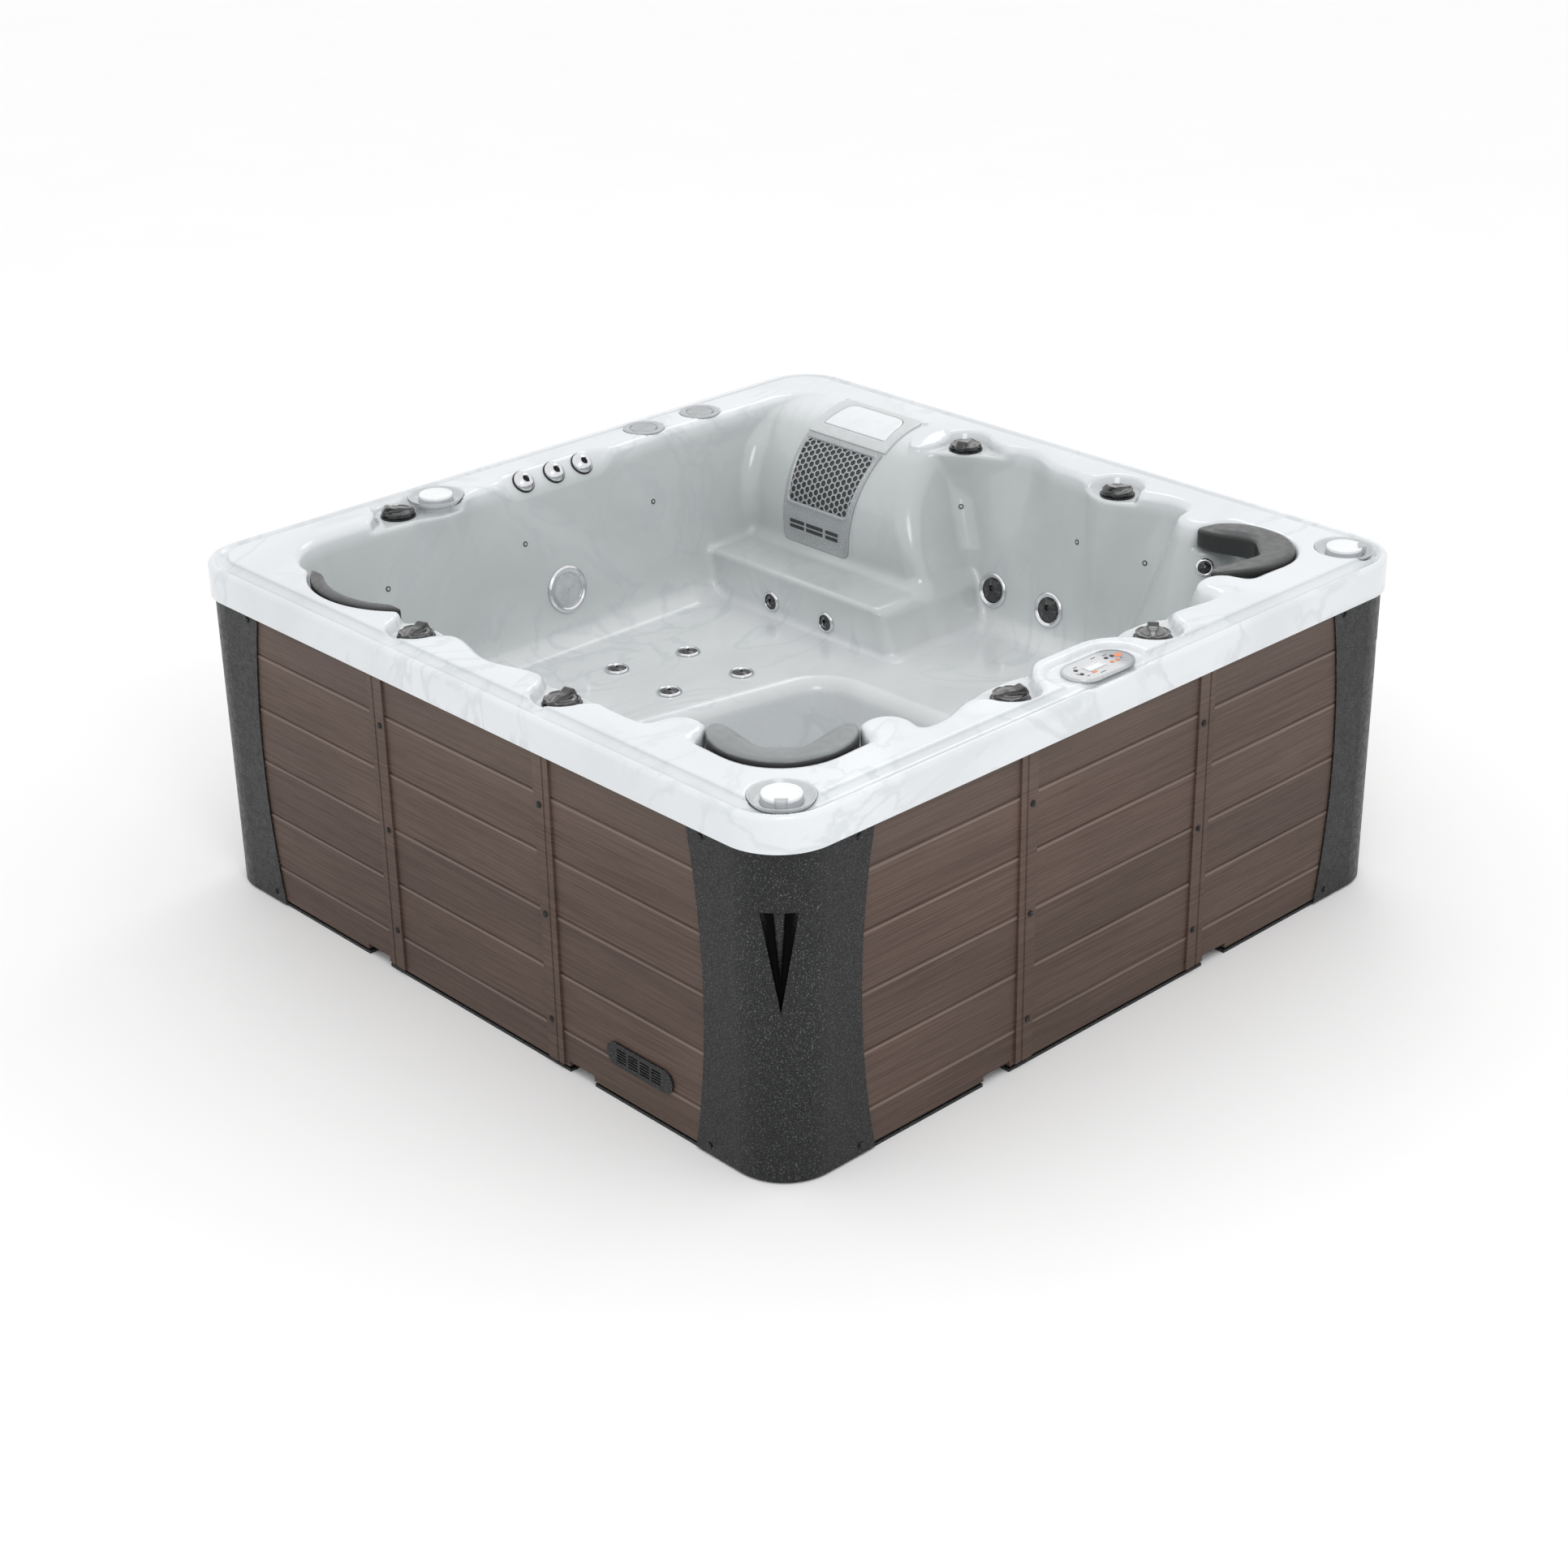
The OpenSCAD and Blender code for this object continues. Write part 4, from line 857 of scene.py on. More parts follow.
def relief(radius, top, bottom, rings=14, turns=60):
    """A closed disc whose upper side has the height top(x, y) and whose underside is at bottom."""
    radii = np.append(np.linspace(0, radius, rings), radius)
    verts, faces = lathe([(r, 0) for r in radii] + [(0, 0)], turns)
    out = []
    for n, (x, y, _) in enumerate(verts):
        lowest = n >= 1 + (rings - 1) * turns
        out.append((x, y, bottom if lowest else float(top(x, y))))
    return out, [face[::-1] for face in faces]


def round_cap(radius, low, high, edge=1.5, turns=40, hole=0.0):
    """A disc or ring with its upper edges rounded."""
    outline = [(hole, low), (radius, low), (radius, high), (hole, high)]
    return lathe(soften(outline, [0, 0, edge, edge if hole else 0], closed=True), turns,
                 closed=hole > 0)


def knob_field(x, y, z):
    """Low round knob with finger scallops and a thumb lever that rises to one end."""
    body = meet(np.hypot(x, y) - 43.5, z - 13, 5)
    for k in range(6):
        a = 2 * pi * k / 6 + pi / 6
        body = cut(body, np.hypot(x - 54 * cos(a), y - 54 * sin(a)) - 15, 3)
    body = cut(body, np.hypot(np.hypot(x, y) - 33, z - 16) - 5, 3)
    crest = 15.5 + 11 * smooth(x, -34, 30) - 0.05 * np.maximum(x - 26, 0) ** 2
    width = 7 + 7 * smooth(x, -36, 26)
    lever = meet(meet(np.abs(y) - width, np.abs(x + 0.5) - 41, 9), z - crest, 4)
    lever = cut(lever, np.hypot(z - crest - 24, x - 10) - 27, 3)
    return meet(join(body, lever, 5), -z, 2)


KNOB_TURNS = {"rear": 150, "left_1": 20, "left_2": 15, "front_1": -20, "front_2": 40,
              "right_1": 200, "right_2": 160}


def add_knobs():
    span = np.arange(-48, 48.1, 1.6)
    points, quads, normals = surface(knob_field, [span, span, np.arange(-3, 31, 1.6)])
    gasket = round_cap(47, -4.8, -0.6, 1.2)
    for name, (x, y, _) in KNOBS.items():
        turn = Matrix.Rotation(radians(KNOB_TURNS[name]), 4, "Z")
        place = Matrix.Translation(Vector((x, y, PAD + 5)) * MM) @ turn
        knob = piece("knob_%s_cap" % name, points, quads, "knob_" + name, "black_gloss",
                     normals=normals[quads].reshape(-1, 3), place=place)
        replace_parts(knob, "knob_" + name)
        piece("knob_%s_seal" % name, *gasket, "tub", "trim_black",
              place=Matrix.Translation(Vector((x, y, PAD + 5)) * MM))


def eye_relief(radius):
    """Face of a jet: a domed turning disc with fins and an off-centre eye."""
    def top(x, y):
        r, a = hypot(x, y) / radius, atan2(y, x)
        eye = hypot(x - 0.20 * radius, y) / radius
        dome = 3.0 + 4.5 * smooth(r, 0.98, 0.30)
        fin = 1.7 * smooth(cos(6 * a), 0.45, 0.75) * smooth(r, 0.36, 0.5) * smooth(r, 1.0, 0.88)
        return dome + fin - 9 * smooth(eye, 0.27, 0.17)
    return relief(radius, top, -5, 18, 72)


def jet_ring(r, inner):
    return lathe(soften([(inner, -7), (r - 5, -7), (r - 1.5, 0), (r + 0.6, 0.6), (r, 4.2),
                         (r - 4, 7.4), (r - 7, 7.0), (inner, 3.2)], 1.6, closed=True), 64, closed=True)


def add_jets():
    rings = []
    leaning = (-LEAN, 0, DRAFT * LEAN)
    for kind, count, ring_r, normal in (("seat_jet", 4, 34, (0, 0, 1)), ("riser_jet", 2, 30, (-1, 0, 0)),
                                        ("wall_jet", 2, 50, leaning)):
        face_r = 0.68 * ring_r
        for i in range(1, count + 1):
            node = "%s_%d" % (kind, i)
            place = stand(seat_of(node), normal, (0.6, 0.8, 0) if kind == "seat_jet" else (0, 0.4, 0.9))
            face = piece(node + "_face", *eye_relief(face_r), node, "black_gloss", place=place)
            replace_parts(face, node)
            millimetres = Matrix.Diagonal((1000, 1000, 1000, 1)) @ place @ Matrix.Diagonal((MM, MM, MM, 1))
            rings.append(moved(jet_ring(ring_r, face_r + 1.5), millimetres))
    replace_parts(piece("jet_rings", *join_meshes(*rings), "tub", "chrome"), "jet_bodies")


def add_neck_jet():
    """Small jet in the corner under the right pillow."""
    point, normal = hit((500, -420, 810), (0.829, -0.559, 0))
    place = stand(point, normal, (0, 0, 1))
    piece("neck_jet_ring", *jet_ring(24, 15), "tub", "chrome", place=place)
    piece("neck_jet_face", *eye_relief(15), "tub", "black_gloss", place=place)


def add_fountains():
    bases = []
    for i, x in enumerate(FOUNTAINS, 1):
        place = stand((x, LEDGE_Y - 25, DECK - 25), (0, -1, 1))
        dome = [(30 * sin(a) / sin(0.91), -14 + 38 * cos(a)) for a in np.linspace(0.91, 0.30, 9)]
        outline = [(9.5, 4), (27, 4), (30.5, 5.8)] + dome + [(9.5, 20)]
        nozzle = piece("fountain_nozzle_%d_dome" % i, *lathe(outline, 64, closed=True),
                       "fountain_nozzle_%d" % i, "chrome", place=place)
        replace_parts(nozzle, "fountain_nozzle_%d" % i)
        base = join_meshes(round_cap(33, -1, 4.4, 1.2), round_cap(14, -40, 9, 1, hole=0))
        millimetres = Matrix.Diagonal((1000, 1000, 1000, 1)) @ place @ Matrix.Diagonal((MM, MM, MM, 1))
        bases.append(moved(base, millimetres))
    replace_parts(piece("fountain_bases", *join_meshes(*bases), "tub", "trim_black"), "fountain_bodies")


def add_light():
    place = stand(seat_of("light_bezel"), (0, -LEAN, DRAFT * LEAN))
    ring = soften([(46, -8), (60, -8), (63, 0), (67, 0.5), (66.4, 5), (61, 9.5), (56, 9.0), (52, 6.2),
                   (46, 6.2)], 1.5, closed=True)
    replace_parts(piece("light_ring", *lathe(ring, 96, closed=True), "tub", "chrome", place=place),
                "light_bezel")

    def top(x, y):
        r = hypot(x, y)
        ripple = cos(2 * pi * r / 5.2) * (0.6 + 0.4 * cos(atan2(y, x) * 36))
        return 5 + 3.5 * (1 - (r / 46) ** 2) + 0.55 * ripple * smooth(r, 45, 41)
    lens = piece("light_lens", *relief(45.6, top, 0, 54, 108), "tub", "clear", place=place)
    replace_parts(lens, "light_lenses")
    points = [hit((x, 500, 735), (0, 1, 0)) for x in (-620, -160, 306)]
    points += [hit((780, y, 735), (1, 0, 0)) for y in (-168, -400, 248)]
    for i, (point, normal) in enumerate(points, 1):
        place = stand(point, normal, (0.3, 0.2, 1))
        piece("light_point_%d_ring" % i, *lathe(soften([(4.2, -3), (7.4, -3), (7.4, 1.6), (4.2, 1.6)],
              0.7, closed=True), 28, closed=True), "tub", "trim_black", look="dark_plastic", place=place)
        piece("light_point_%d_lens" % i, *relief(4.6, lambda x, y: 2.2 - 0.05 * (x * x + y * y), -2, 5, 24),
              "tub", "clear", place=place)


def honeycomb(inside, pitch, wall, place):
    """A thin plate of hexagonal cells, one row above another, closed all over.

    inside(a, b) says whether a cell centre counts; place(a, b, side) gives the point in space,
    where side is 0 at the back and 1 at the front."""
    reach = int(260 / pitch)
    ring = [(pitch / 3 ** 0.5 * cos(k * pi / 3), pitch / 3 ** 0.5 * sin(k * pi / 3)) for k in range(6)]
    number, flat, faces = {}, [], []

    def vert(a, b):
        key = (round(a, 1), round(b, 1))
        if key not in number:
            number[key] = len(flat)
            flat.append((a, b))
        return number[key]

    border = {}
    for i in range(-reach, reach + 1):
        for j in range(-reach, reach + 1):
            a, b = i * pitch * 0.866, (j + (i % 2) / 2) * pitch
            if not inside(a, b):
                continue
            outer = [vert(a + p, b + q) for p, q in ring]
            hole = 1 - wall / pitch
            inner = [len(flat) + k for k in range(6)]
            flat += [(a + p * hole, b + q * hole) for p, q in ring]
            for k in range(6):
                m = (k + 1) % 6
                faces.append((outer[k], outer[m], inner[m], inner[k]))
                for edge in ((outer[k], outer[m]), (inner[m], inner[k])):
                    border[edge] = edge
    count = len(flat)
    open_edges = [edge for edge in border if edge[::-1] not in border]
    verts = [place(a, b, 1) for a, b in flat] + [place(a, b, 0) for a, b in flat]
    solid = [list(face) for face in faces] + [[v + count for v in face[::-1]] for face in faces]
    solid += [[b, a, a + count, b + count] for a, b in open_edges]
    return verts, solid


def add_speakers():
    pitch = 5.0
    for i, (x, y) in enumerate(SPEAKERS, 1):
        place = Matrix.Translation(Vector((x, y, DECK - 4)) * MM)
        ring = soften([(40, 0.2), (58, 0.2), (58.5, 3.4), (52, 6.2), (44, 5.4), (40, 3.4)], 1.6, closed=True)
        rim = piece("speaker_%d_ring" % i, *lathe(ring, 72, closed=True), "tub", "grey_plastic",
                    look="mesh_grey", place=place)
        if i == 1:
            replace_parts(rim, "speaker_grilles")
        mesh = honeycomb(lambda a, b: hypot(a, b) < 42 - pitch * 0.6, pitch, pitch * 0.4,
                         lambda a, b, side: (a, b, 2.2 + 1.4 * side))
        piece("speaker_%d_mesh" % i, *mesh, "tub", "grey_plastic", place=place)
        piece("speaker_%d_cone" % i, *relief(42, lambda x, y: -9 + 0.004 * (x * x + y * y), -14, 8, 40),
              "tub", "trim_black", place=place)


def add_popups():
    cups = []
    names = ("popup_front_left", "popup_front_right", "popup_rear")
    disc = [(0, 0.2), (30, 0.6), (37, 1.2), (40, 3.4), (43, 4.4), (44.8, 2.8), (44.8, -3), (0, -3)]
    disc = lathe(soften(disc, [0, 3, 3, 1.5, 1.5, 1.5, 0, 0])[::-1], 72)
    tube = [(0, -3.2), (45.6, -3.2), (46, -5), (45.6, -88), (41.6, -88), (41.6, -10), (0, -10)]
    tube = lathe(tube[::-1], 72)
    # The bowl lines the shell's recess up to the deck, so its grey paints the shade in the recess.
    bowl = soften([(47.2, -99), (50.4, -99), (50.4, -21), (60, -19.5), (69, -13), (74.6, -1.6), (73, -1.6),
                   (66, -12), (58, -17.5), (47.2, -18)], [0, 0, 1, 4, 5, 0.5, 0.5, 5, 4, 1], closed=True)
    for name, (x, y, _) in zip(names, POPUPS):
        place = Matrix.Translation(Vector((x, y, DECK)) * MM)
        head = piece(name + "_disc", *disc, name, "acrylic", look="white_plastic", place=place)
        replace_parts(head, name)
        piece(name + "_tube", *tube, name, "acrylic", look="mesh_grey", place=place)
        for part in (lathe(bowl, 72, closed=True), round_cap(48.5, -99.8, -96.5, 0.5)):
            cups.append(moved(part, Matrix.Translation((x, y, DECK))))
    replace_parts(piece("popup_bowls", *join_meshes(*cups), "tub", "grey_plastic", look="popup_bowl_painted_shade"),
                "popup_cups")
    # Finger tabs on the two front heads
    tab = [(35, -15), (46, -13), (54, -10), (56, 0), (54, 10), (46, 13), (35, 15)]
    tab = soften(tab, [2, 2, 5, 6, 5, 2, 2], closed=True)
    foot = [(px * 0.985, py * 0.8) for px, py in tab]
    for name, (x, y, _), turn in zip(names, POPUPS, (-135, -45)):
        place = Matrix.Translation(Vector((x, y, DECK)) * MM) @ Matrix.Rotation(radians(turn), 4, "Z")
        rim = [(px * 0.985 + 0.6, py * 0.94) for px, py in tab]
        piece(name + "_tab", *stack([foot, tab, tab, rim], [-13, -2, 5.0, 6.0]), name, "clear",
              look="mesh_grey", place=place)


def add_panel():
    x0, y0 = PANEL[0], PANEL[1]
    top = PANEL_FLOOR + 7.3
    length, width = corners("panel_bezel")[1][0] - corners("panel_bezel")[0][0], 102
    rails = [oblong(length + grow, width + grow, 16) for grow in (0, 3.2, 2.4, -3, -8, -9)]
    heights = (-6.4, -5.4, -0.4, 1.6, 0.9, -0.6)
    n = len(rails[0])
    verts = [(x0 + x, y0 + y, top + z) for rail, z in zip(rails, heights) for x, y in rail]
    faces = [[k % 6 * n + i, k % 6 * n + (i + 1) % n, (k + 1) % 6 * n + (i + 1) % n, (k + 1) % 6 * n + i]
             for k in range(6) for i in range(n)]
    piece("panel_rim", verts, faces, "tub", "silver", crease=50)
    for i in range(1, 7):
        node = "button_%d" % i
        low, high = corners(node)
        mid = (low + high) / 2
        height = high[2] - low[2]
        cap = soften([(0, high[2] - 0.4), (4.6, high[2] - 0.1), (5.5, high[2] - 1.6), (5.5, low[2] + 1.6),
                      (7, low[2] + 1.6), (7, low[2]), (0, low[2])], [0, 1.2, 1.2, 0, 0, 0, 0])[::-1]
        button = piece(node + "_cap", *lathe(cap, 32), node, "grey_plastic" if i < 3 else "silver",
                       look="dark_plastic" if i < 5 else "orange_mark",
                       place=Matrix.Translation(Vector((mid[0], mid[1], 0)) * MM))
        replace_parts(button, node)
    # Plain generic marks: short dashes by the buttons and two coloured patches
    marks = []
    for mx, my, ml, mw in ((-62, -26, 10, 2.4), (-74, -4, 2.6, 9), (-50, 26, 12, 2.2), (52, 26, 14, 2.2),
                           (70, -10, 2.6, 8), (20, 33, 16, 2.4), (-20, -34, 18, 2.2)):
        mark = oblong(max(ml, mw), min(ml, mw), 6)
        if mw > ml:
            mark = [(-b, a) for a, b in mark]
        mark = [(x0 + mx + a, y0 + my + b) for a, b in mark]
        marks.append(stack([mark, mark], [top - 0.5, top + 0.35]))
    piece("panel_dashes", *join_meshes(*marks), "tub", "silver", look="dark_plastic")
    patches = []
    for mx, my, ml, mw in ((76, 6, 26, 17), (-36, -21, 16, 8)):
        mark = [(x0 + mx + a, y0 + my + b) for a, b in oblong(ml, mw, 8)]
        patches.append(stack([mark, mark], [top - 0.5, top + 0.45]))
    piece("panel_patches", *join_meshes(*patches), "tub", "silver", look="orange_mark")
    low, high = corners("panel_screen")
    mid = (low + high) / 2
    w, d = (high - low)[:2]
    frame_out = soften([(-w / 2 - 4, -d / 2 - 4), (w / 2 + 4, -d / 2 - 4), (w / 2 + 4, d / 2 + 4),
                        (-w / 2 - 4, d / 2 + 4)], 5, closed=True)
    frame_in = soften([(-w / 2 + 1, -d / 2 + 1), (w / 2 - 1, -d / 2 + 1), (w / 2 - 1, d / 2 - 1),
                       (-w / 2 + 1, d / 2 - 1)], 2, closed=True)
    n = len(frame_out)
    rows = [(frame_out, top - 0.6), (frame_out, top + 0.8), (frame_in, top + 0.3), (frame_in, top - 0.6)]
    verts = [(mid[0] + x, mid[1] + y, z) for row, z in rows for x, y in row]
    faces = [[k % 4 * n + i, k % 4 * n + (i + 1) % n, (k + 1) % 4 * n + (i + 1) % n, (k + 1) % 4 * n + i]
             for k in range(4) for i in range(n)]
    piece("panel_screen_frame", verts, faces, "tub", "silver", crease=50)


def on_filter_face(u, s, h):
    """Point at u across, s down the curved face from its top, and h out of it."""
    arc = FILTER_R * pi / 2
    if s > arc:
        return FILTER_X - FILTER_R - h, FILTER_Y + u, FILTER_Z - (s - arc)
    a = pi / 2 + s / FILTER_R
    return FILTER_X + (FILTER_R + h) * cos(a), FILTER_Y + u, FILTER_Z + (FILTER_R + h) * sin(a)


def down_face(z):
    """Distance down the curved face at which it has the height z."""
    if z < FILTER_Z:
        return FILTER_R * pi / 2 + FILTER_Z - z
    return FILTER_R * (pi / 2 - np.arcsin((z - FILTER_Z) / FILTER_R))


def dense(points, step=7.0):
    """The same closed outline with points no further apart than step."""
    out = []
    for p, q in zip(points, points[1:] + points[:1]):
        n = max(1, ceil(hypot(q[0] - p[0], q[1] - p[1]) / step))
        out += [(p[0] + (q[0] - p[0]) * k / n, p[1] + (q[1] - p[1]) * k / n) for k in range(n)]
    return out


def inset(points, distance):
    """The outline moved inwards; the points run counterclockwise."""
    out = []
    for i, p in enumerate(points):
        a, b = points[i - 1], points[(i + 1) % len(points)]
        length = hypot(b[0] - a[0], b[1] - a[1])
        out.append((p[0] - (b[1] - a[1]) / length * distance, p[1] + (b[0] - a[0]) / length * distance))
    return out


def face_rings(rows, closed):
    """Mesh through rows of (outline, height) on the filter's face; closed joins the last to the first."""
    n = len(rows[0][0])
    verts = [on_filter_face(u, s, h) for outline, h in rows for u, s in outline]
    count = len(rows)
    faces = [[k * n + i, (k + 1) % count * n + i, (k + 1) % count * n + (i + 1) % n, k * n + (i + 1) % n]
             for k in range(count if closed else count - 1) for i in range(n)]
    if not closed:
        last = (count - 1) * n
        faces += [list(range(n)), list(range(last, last + n))[::-1]]
    return verts, faces


def face_frame(outer, inner, outer_steps, inner_steps):
    """A frame between two outlines, with its height given at steps in from each of them."""
    count = 220
    outer, inner = even(outer, count), even(inner, count)
    rows = [(inset(outer, d), h) for d, h in outer_steps]
    rows += [(inset(inner, -d), h) for d, h in inner_steps]
    start, end = rows[len(outer_steps) - 1], rows[len(outer_steps)]
    between = [([(p[0] + (q[0] - p[0]) * t, p[1] + (q[1] - p[1]) * t) for p, q in zip(start[0], end[0])],
                start[1] + (end[1] - start[1]) * t) for t in (0.2, 0.4, 0.6, 0.8)]
    rows[len(outer_steps):len(outer_steps)] = between
    return face_rings(rows, True)


def even(points, count):
    """Count points, evenly spread in angle about the middle, along a closed outline."""
    loop = dense(points, 1.5)
    cu = sum(p[0] for p in loop) / len(loop)
    cs = sum(p[1] for p in loop) / len(loop)
    angles = np.array([atan2((p[1] - cs) / 1.2, p[0] - cu) for p in loop])
    order = np.argsort(angles)
    angles, loop = angles[order], np.array(loop)[order]
    wanted = np.linspace(-pi, pi, count, endpoint=False)
    return list(zip(np.interp(wanted, angles, loop[:, 0], period=2 * pi),
                    np.interp(wanted, angles, loop[:, 1], period=2 * pi)))


def face_pad(outline, low, high, edge=1.2):
    """A thin pad on the filter's face with its upper edge rounded."""
    outline = dense(outline)
    centre = (sum(p[0] for p in outline) / len(outline), sum(p[1] for p in outline) / len(outline))

    def shrunk(f):
        return [(centre[0] + (p[0] - centre[0]) * f, centre[1] + (p[1] - centre[1]) * f) for p in outline]
    rows = [(shrunk(f), low) for f in (0.03, 0.25, 0.5, 0.75)] + [(outline, low), (outline, high - edge)]
    rows += [(inset(outline, edge * 0.3), high - edge * 0.3), (inset(outline, edge), high)]
    rows += [(shrunk(f), high) for f in (0.9, 0.75, 0.6, 0.45, 0.3, 0.15, 0.03)]
    return face_rings(rows, False)


def rounded(corner_points, radii):
    return [tuple(p)[:2] for p in soften(corner_points, radii, closed=True, steps=8)]


def add_filter_face():
    """Face plate with its grille and slots, and the lid above it."""
    arc_top, foot = down_face(861) + 1.5, down_face(DECK - 343)
    plate_outer = rounded([(-150, arc_top), (150, arc_top), (129, foot), (-129, foot)], [3, 3, 24, 24])
    w0, w1 = down_face(DECK - 66), down_face(DECK - 222)
    window = rounded([(-136, w0), (136, w0), (116, w1), (-116, w1)], 9)
    ends = [(0, 0.4), (0, 3.6), (1.2, 4.9), (5, 5.6), (8, 5.0), (9, 4.4)]
    bead = [(13, 4.2), (11, 5.4), (7.5, 8.0), (3, 8.0), (0, 5.0), (0, 0.4)]
    plate = face_frame(plate_outer, window, ends, bead)
    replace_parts(piece("filter_plate", *plate, "tub", "grey_plastic", look="plate"), "filter_faceplate")

    def clamped(a, b, side):
        s = min(max(w0 - 1, (w0 + w1) / 2 + b), w1 + 1)
        half = 137 - 20 * (s - w0) / (w1 - w0)
        return on_filter_face(min(max(-half, a), half), s, 2.8 + 1.6 * side)
    cells = honeycomb(lambda a, b: abs(a) < 134 and abs(b) < (w1 - w0) / 2 + 3, 20.5, 4.4, clamped)
    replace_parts(piece("filter_honeycomb", *cells, "tub", "grey_plastic", look="plate", crease=20),
                "filter_grille")
    piece("filter_screen", *face_pad(inset(dense(window), 0.5), 0.4, 2.2, 0.3), "tub",
          "grey_plastic", look="dark_plastic")
    slots, mid = [], down_face(DECK - 286)
    for u, width in ((-66, 50), (4, 68), (75, 58)):
        for ds in (-7.5, 7.5):
            corners_at = [(u - width / 2, mid + ds - 5.4), (u + width / 2, mid + ds - 5.4),
                          (u + width / 2, mid + ds + 5.4), (u - width / 2, mid + ds + 5.4)]
            slots.append(face_pad(rounded(corners_at, 1.2), 3.0, 4.75, 0.3))
    piece("filter_slots", *join_meshes(*slots), "tub", "grey_plastic", look="dark_plastic")
    rim = rounded([(-97, mid - 17), (110, mid - 17), (110, mid + 17), (-97, mid + 17)], 5)
    inner = rounded([(-93, mid - 13.5), (106, mid - 13.5), (106, mid + 13.5), (-93, mid + 13.5)], 3)
    piece("filter_slot_rim", *face_frame(rim, inner, [(0, 3.6), (0.6, 5.1)], [(0.8, 5.1), (0, 3.6)]),
          "tub", "grey_plastic", look="plate")

    low, high = corners("filter_lid")
    back = FILTER_R * (pi / 2 - np.arccos((high[0] - FILTER_X) / FILTER_R)) * -1
    front = FILTER_R * (np.arccos((low[0] - FILTER_X) / FILTER_R) - pi / 2)
    half = (high[1] - low[1]) / 2
    lid = rounded([(-half, back + 1), (half, back + 1), (half, front), (-half, front)], [26, 26, 3, 3])
    panel = rounded([(-half * 0.72, back + 24), (half * 0.70, back + 24), (half * 0.80, front - 38),
                     (-half * 0.80, front - 38)], [44, 30, 6, 6])
    border = face_frame(lid, panel, [(0, 0.6), (0, 4.0), (1.2, 5.6), (4, 6.3), (8, 6.5)],
                        [(4, 6.5), (1.5, 5.6), (0, 3.4), (0, 0.6)])
    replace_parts(piece("filter_lid_border", *border, "filter_lid", "grey_plastic", look="lid_edge"),
                "filter_lid")
    piece("filter_lid_panel", *face_pad(inset(dense(panel), 1.6), 0.6, 5.4, 1.4), "filter_lid",
          "grey_plastic", look="lid")


def add_fittings():
    add_knobs()
    add_jets()
    add_neck_jet()
    add_fountains()
    add_light()
    add_speakers()
    add_popups()
    add_panel()
    add_filter_face()
    add_pillows()

# ---------- head pillows ----------

def crescent_field(x, y, z):
    """Corner pad: +X points to the tub's corner, and z = 0 is the deck."""
    inner = -56 + 131 * smooth(np.abs(y), 150, 34)
    outline = meet(np.hypot(x, y) - (SCOOP_R - 1), 0.62 * (inner - x), 8)
    crown = 8 - 7 * smooth(x - inner, 60, 4) - 3 * smooth(x, 60, -20)
    return meet(meet(outline, z - crown, 8), -56 - z, 8)


def side_field(x, y, z):
    """Shallow pad of the left side: +X points outwards."""
    outline = meet(np.hypot(x, y) - 270, 262 - np.hypot(x + 30, y), 9)
    outline = meet(outline, 190 - x, 8)
    return meet(meet(outline, z - 2, 8), -52 - z, 8)


def add_pillow(name, place, field, low, high, look):
    """Builds a pad as a closed form, and lets cloth under pressure swell it."""
    step = 5
    lines = [np.arange(a - 12, b + 12, step) for a, b in zip(low, high)]
    points, quads, _ = surface(field, lines)
    pad = piece(name + "_pad", points, quads, "tub", "pillow", look=look, crease=180, place=place)
    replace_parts(pad, name)
    swell(pad, 0.002)
    finish = pad.modifiers.new("smooth", "SUBSURF")
    finish.levels = finish.render_levels = 1
    return pad


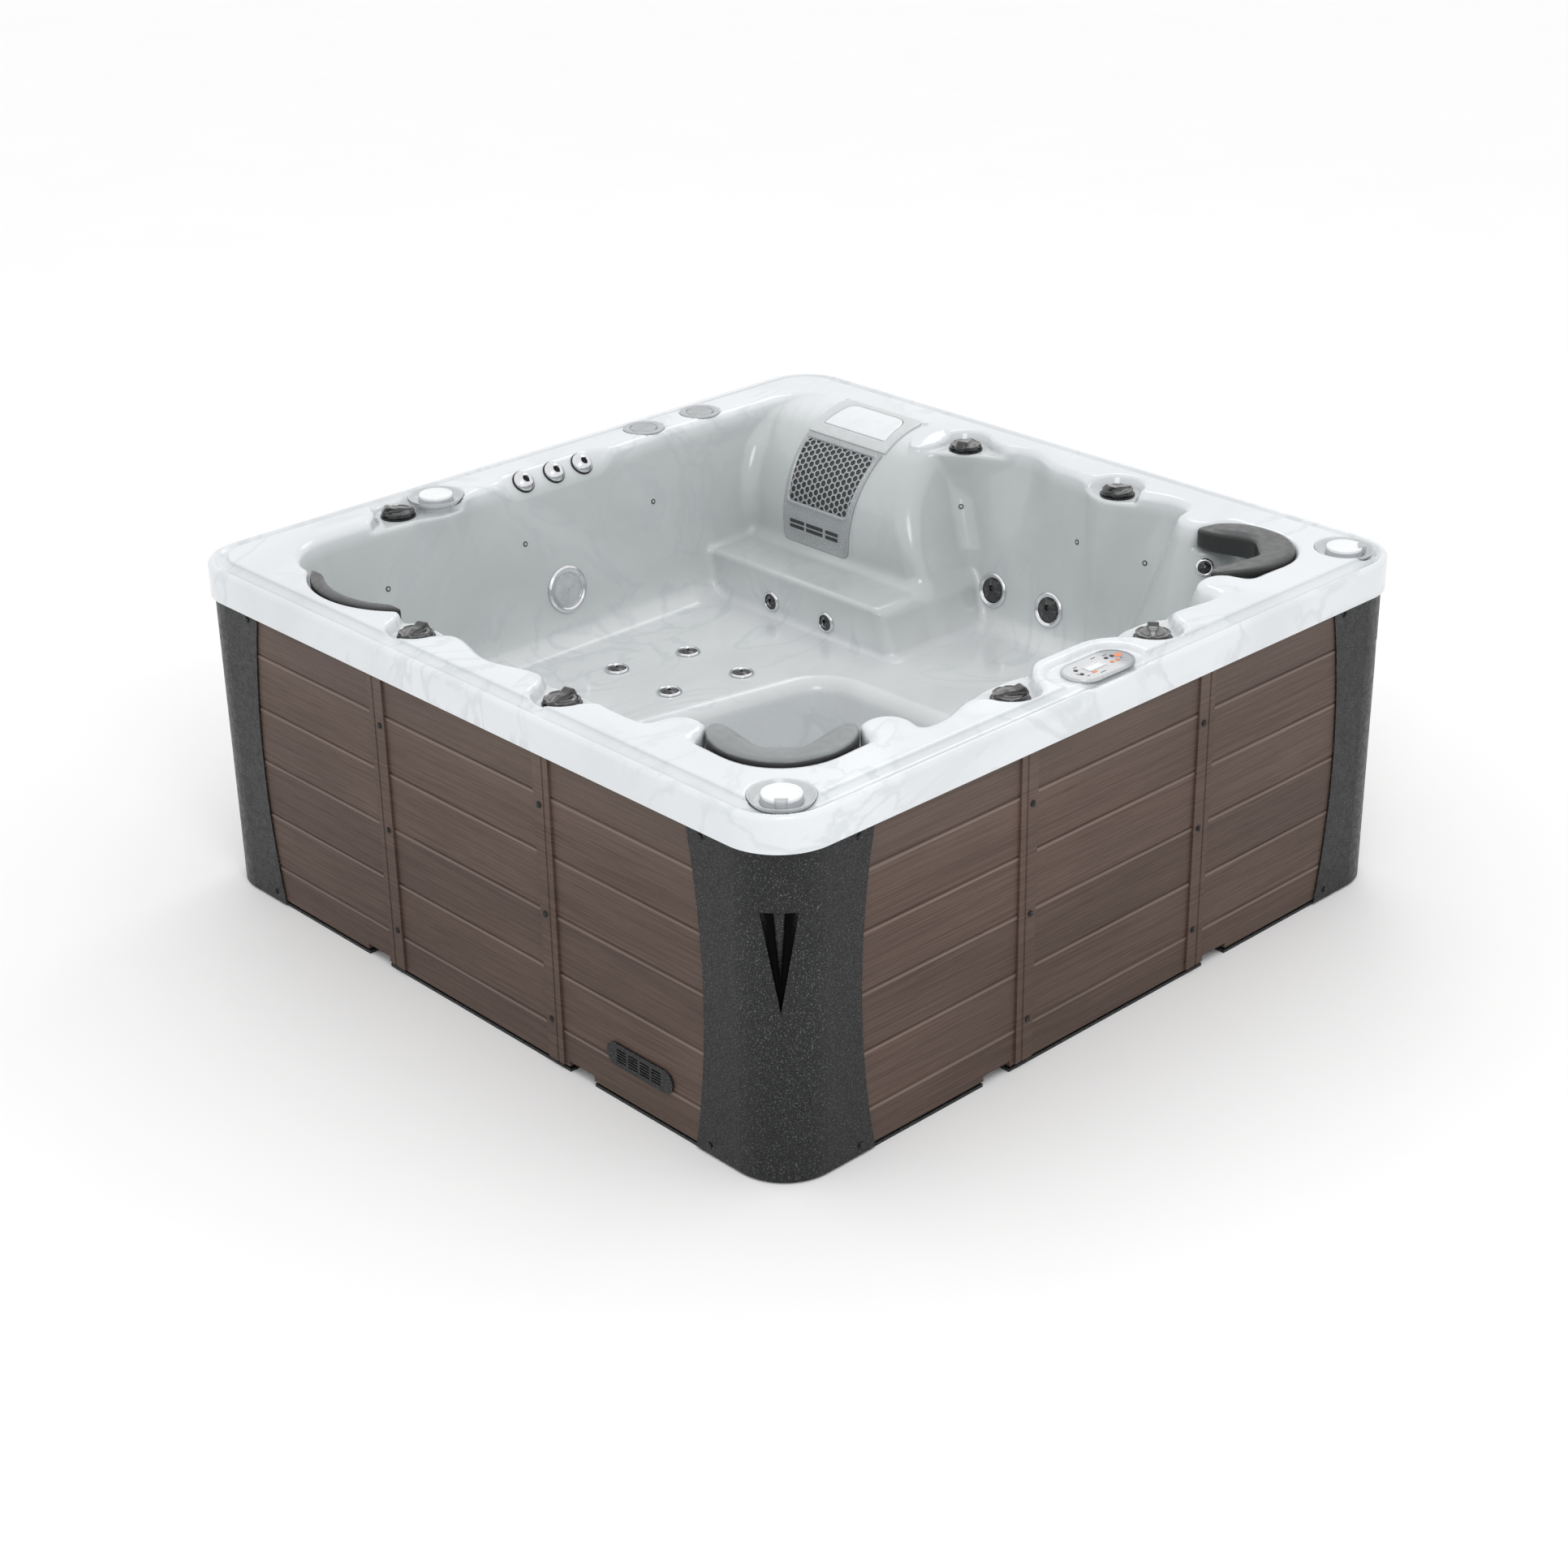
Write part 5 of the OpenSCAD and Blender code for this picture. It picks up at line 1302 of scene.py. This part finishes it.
def swell(pad, cap):
    """Cloth pressure, with each point kept within cap metres of its start."""
    start = np.array([v.co for v in pad.data.vertices])
    cloth = pad.modifiers.new("cloth", "CLOTH")
    cloth.settings.use_pressure = True
    cloth.settings.uniform_pressure_force = 4
    cloth.settings.effector_weights.gravity = 0
    cloth.settings.quality = 6
    scene = bpy.context.scene
    for number in range(1, 21):
        scene.frame_set(number)
    evaluated = pad.evaluated_get(bpy.context.evaluated_depsgraph_get())
    end = np.array([v.co for v in evaluated.data.vertices])
    pad.modifiers.remove(cloth)
    shift = end - start
    length = np.maximum(np.linalg.norm(shift, axis=1), 1e-9)
    shift *= np.minimum(1, cap / length)[:, None]
    pad.data.vertices.foreach_set("co", (start + shift).astype(np.float32).ravel())
    pad.data.update()
    scene.frame_set(1)


def add_pillows():
    # The front left pillow takes the lit copy of the foam, with its far paler painted sheen.
    for side, s, look in (("left", -1, "pillow_painted_sheen"), ("right", 1, "pillow")):
        place = stand((s * SCOOP_D, -SCOOP_D, DECK), (0, 0, 1), (s, -1, 0))
        add_pillow("pillow_front_" + side, place, crescent_field, (-66, -170, -60), (172, 170, 14), look)
    cx, cy, _ = SIDE_SCOOP
    place = stand((cx, cy, DECK), (0, 0, 1), (-1, 0, 0))
    add_pillow("pillow_left", place, side_field, (180, -210, -56), (274, 210, 10), "pillow")

# ---------- put together ----------

def dress_frame():
    """Gives each CAD node that stays the look of its material slot."""
    special = {"weir_flap": "dark_plastic", "filter_housing": "white_plastic",
               "filter_cartridge": "dark_plastic", "battens": "batten"}
    for part in frame["record"]["subparts"]:
        node = frame["nodes"][part["node"]]
        look = LOOKS[special.get(part["node"], part["material_slot"])]
        if not node.material_slots:
            node.data.materials.append(None)
        for material_slot in node.material_slots:
            material_slot.link = "OBJECT"
            material_slot.material = look.material


def add_floor():
    mesh = bpy.data.meshes.new("floor")
    mesh.from_pydata([(-14, -14, 0), (14, -14, 0), (14, 14, 0), (-14, 14, 0)], [], [(0, 1, 2, 3)])
    mesh.materials.append(floor_look().material)
    floor = bpy.data.objects.new("floor", mesh)
    bpy.context.scene.collection.objects.link(floor)


def add_world():
    world = bpy.data.worlds.new("studio")
    world.use_nodes = True
    world.node_tree.nodes["Background"].inputs["Color"].default_value = (1, 1, 1, 1)
    world.node_tree.nodes["Background"].inputs["Strength"].default_value = 1.05
    bpy.context.scene.world = world


bpy.context.scene.view_settings.view_transform = "Standard"
add_camera()
add_world()
add_area_light("key", (-2.5, -3.5, 4.5), (0, 0, 0.5), 2.0, 45)
add_area_light("fill", (3.5, 2.0, 4.5), (0, 0, 0.5), 2.0, 20)
add_floor()
dress_frame()
add_shell()
add_fittings()
